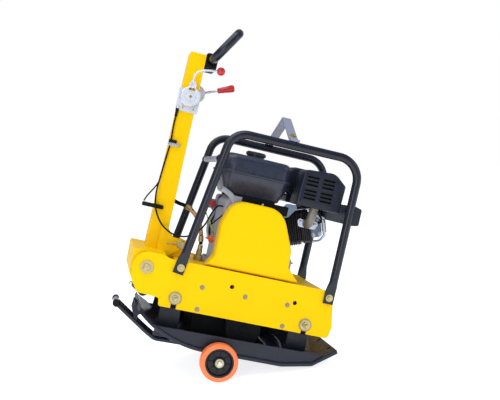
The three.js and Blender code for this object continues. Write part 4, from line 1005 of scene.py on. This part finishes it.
def add_lines():
    """The hose and the cable, which bend between the mast and the machine."""
    hose_route = [(-223, 62, 777.7), (-223, 62, 752), (-230, 62, 700), (-237, 62, 640), (-240, 62, 560),
                  (-240, 62, 500), (-236, 61, 464), (-222, 57, 448), (-205, 40, 441), (-186, 22, 438),
                  (-164, 6, 432), (-139, 0, 412), (-120, -5, 384), (-108, -9, 352), (-102, -10, 319)]
    hose = tube("pump_hose", flowing(hose_route, 8), 6.6, 20)
    dress(hose, "rubber", None, "hydraulic_hose")
    blend_line(hose)
    tan = tube("hose_sleeve", flowing(hose_route[10:14], 8), 7.6, 20)
    dress(tan, "tan_hose", None)
    blend_line(tan)
    for i, t in enumerate((9, 13)):
        a, b = Vector(hose_route[t]), Vector(hose_route[t + 1])
        start = a.lerp(b, 0.5 if i == 0 else 0.1)
        ferrule = turned(f"hose_ferrule_{i}", chamfered(9, 0, 20, 1.2), start, b - a, 32)
        dress(ferrule, "zinc", None)
        blend_line(ferrule)
    cable_route = [(-284, -54, 721.7), (-284, -53, 690), (-282, -52, 632), (-286, -52, 573), (-290, -52, 511),
                   (-292, -56, 460), (-284, -70, 412), (-262, -84, 372), (-232, -94, 348), (-200, -98, 338),
                   (-165, -96, 342), (-134, -88, 362), (-112, -76, 392), (-98, -66, 430), (-82, -60, 460),
                   (-63.4, -60, 464)]
    cable = tube("cable_sheath", flowing(cable_route, 8), 2.8, 14)
    dress(cable, "rubber", None, "throttle_cable")
    blend_line(cable)
    fitting = [turned("part", chamfered(16, DECK + 0.3, 282, 2), (-102, -10, 0), (0, 0, 1), 6),
               turned("part", chamfered(10, 282, 300, 1), (-102, -10, 0), (0, 0, 1), 6),
               turned("part", chamfered(8.6, 300, 317.5, 1), (-102, -10, 0), (0, 0, 1), 32)]
    dress(merged("hose_union", fitting), "zinc", "machine", "hose_fitting")
    dress(slab("cable_clip_strap", rounded(-289, 634, -262, 645, 3), -58, -54, 1.2), "rubber", "mast")
    dress(slab("cable_clip_plate", rounded(-290, 624, -250, 636, 4), -56, -45.2, 1.4), "steel", "mast")
    dress(bolt("cable_clip_bolt", (-254, -56, 631), (0, -1, 0), 4, True, 3), "zinc", "mast")
    dress(slab("lower_clamp", rounded(-330, 410, -258, 424, 5), -58, -45.2, 2), "rubber", "mast")
    loop = flowing([(-326, -52, 426), (-318, -52, 446), (-302, -52, 474), (-292, -52, 496), (-288, -52, 520)])
    dress(tube("cable_loop", loop, 2.4, 10), "rubber", "mast")
    hook = round_line([(-311, -100, 156), (-268, -100, 124), (-240, -100, 140), (-186, -100, 205)], 10)
    dress(tube("rest_hook", hook, 5, 14), "black", "machine")
    dress(brick("rest_hook_pad", (-318, -108, 150), (-306, -92, 162), 2), "steel", "machine")
    for i, (shift, finish) in enumerate(((0, "green_wire"), (4, "yellow_wire"))):
        wire = flowing([(-100, 96 - shift, 455), (-104, 70, 440 - shift), (-96, 40, 420),
                        (-84, 20, 395 + shift), (-70, 8, 372), (-62, 4 + shift, 360)])
        dress(tube(f"sensor_wire_{i}", wire, 1.8, 10), finish, "machine")
    governor = flowing([(-96, -96, 396), (-70, -104, 430), (-44, -106, 462), (-20, -104, 476),
                        (4, -100, 482)])
    dress(tube("governor_cable", governor, 2.2, 10), "rubber", "machine")


def blend_line(obj):
    """Bakes a line's placement into its mesh."""
    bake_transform(obj)


# ------------------------------------------------------------------ trolley
def add_trolley():
    body = "trolley"
    x, z = AXLE
    shaft = turned("axle_shaft", chamfered(8, -277, 277, 1.5), (x, 0, z), sides=36)
    dress(shaft, "steel", body, "trolley_frame")
    bx, bz = TROLLEY_BAR
    bar = turned("trolley_crossbar", chamfered(10, -42, 42, 1), (bx, 0, bz), sides=36)
    dress(bar, "steel", body)
    for name, side in SIDES:
        y = side * TROLLEY_ARM
        route = round_line([(bx - 2, y, bz), (-226, y, -1), (-190, y, -21), (x, y, z)], 40)
        dress(tube(f"trolley_arm_{name}", route, 9, 28), "black", body)
        cap = turned(f"trolley_cap_{name}", chamfered(12, 36, 62, 3), (bx, 0, bz), (0, side, 0))
        dress(cap, "rubber", body)
        eye = turned("part", chamfered(13, y - 8, y + 8, 1.2, 6.6), (-268, 0, 56), sides=36)
        web = brick("part", (-275, y - 7, 22), (-261, y + 7, 46), 1.2)
        dress(merged(f"trolley_eye_{name}", [eye, web]), "black", body)
        inner = side * (247 - 18)
        collar = turned(f"axle_collar_{name}", chamfered(14, 0.4, 6.4, 1, 8), (x, inner, z), (0, -side, 0))
        dress(collar, "steel", body)
        outer = side * (247 + 18)
        dress(bolt(f"axle_nut_{name}", (x, outer + side * 0.3, z), (0, side, 0), 8, True, 5), "zinc", body)
        add_wheel(name, side)


def add_wheel(name, side):
    x, z = AXLE
    y = side * 247
    body = f"wheel_{name}"
    crown = [(46, -18), (56, -18), (58.6, -17), (60.4, -14.5), (61, -11), (61, 11), (60.4, 14.5),
             (58.6, 17), (56, 18), (46, 18), (46, -18)]
    dress(turned(f"tread_{name}", crown, (x, y, z), sides=112), "tyre", body, f"wheel_tyre_{name}")
    rim = [(8.4, -18), (17, -18), (18.5, -16.5), (20, -10), (37, -10), (40, -16.6), (41.4, -18), (45.7, -18),
           (45.7, 18), (41.4, 18), (40, 16.6), (37, 10), (20, 10), (18.5, 16.5), (17, 18), (8.4, 18),
           (8.4, -18)]
    parts = [turned("part", rim, (x, y, z), sides=80)]
    for k in range(8):
        a = 2 * math.pi * k / 8
        mid = Vector((x + 29 * math.cos(a), 0, z + 29 * math.sin(a)))
        along = Vector((math.cos(a), 0, math.sin(a))) * 10
        across = Vector((-math.sin(a), 0, math.cos(a))) * 2
        ends = [mid - along - across, mid + along - across, mid + along + across, mid - along + across]
        parts.append(slab("part", [(p.x, p.z) for p in ends], y - 13.5, y + 13.5, 0.8))
    dress(merged(f"wheel_centre_{name}", parts), "hub", body, f"wheel_hub_{name}")
    bearing = turned(f"wheel_bearing_{name}", chamfered(14, 17.2, 18.6, 0.5, 8.6), (x, y, z), (0, side, 0))
    dress(bearing, "zinc", body)


# ------------------------------------------------------------------ stage
def add_stage():
    mesh = bpy.data.meshes.new("studio_floor")
    mesh.from_pydata([(-12, -12, 0), (12, -12, 0), (12, 12, 0), (-12, 12, 0)], [], [(0, 1, 2, 3)])
    floor = bpy.data.objects.new("studio_floor", mesh)
    bpy.context.scene.collection.objects.link(floor)
    material = bpy.data.materials.new("studio_floor")
    material.use_nodes = True
    shader = material.node_tree.nodes["Principled BSDF"]
    shader.inputs["Base Color"].default_value = (0.8, 0.8, 0.8, 1)
    shader.inputs["Emission Color"].default_value = (1, 1, 1, 1)
    shader.inputs["Emission Strength"].default_value = 0.78
    shader.inputs["Roughness"].default_value = 0.7
    mesh.materials.append(material)
    world = bpy.data.worlds.new("studio")
    world.use_nodes = True
    tree = Tree(world)
    sky = next(n for n in tree.nodes if n.type == "BACKGROUND")
    seen = tree.add("ShaderNodeLightPath").outputs["Is Camera Ray"]
    colours = {"Factor": seen, 6: (0.34, 0.38, 0.46, 1), 7: (1, 1, 1, 1)}
    tint = tree.add("ShaderNodeMix", colours, data_type="RGBA")
    tree.links.new(tint.outputs[2], sky.inputs["Color"])
    bpy.context.scene.world = world
    for name, spot, size, power, colour in (("softbox", (-0.6, -0.6, 3.4), 3.4, 88, (0.93, 0.96, 1)),
                                            ("front", (-1.8, -4.2, 1.7), 2.4, 56, (1, 0.99, 0.97)),
                                            ("side", (3.2, -1.6, 1.6), 1.6, 14, (1, 1, 1))):
        data = bpy.data.lights.new(name, "AREA")
        data.size = size
        data.energy = power
        data.color = colour
        lamp = bpy.data.objects.new(name, data)
        lamp.location = spot
        aim = Vector((0, 0, 0.45)) - Vector(spot)
        lamp.rotation_euler = aim.to_track_quat("-Z", "Y").to_euler()
        bpy.context.scene.collection.objects.link(lamp)
    bpy.context.scene.view_settings.view_transform = "Standard"


add_base_plate()
add_chassis()
add_cage()
add_engine()
add_mast()
add_controls()
add_lines()
add_trolley()
add_stage()
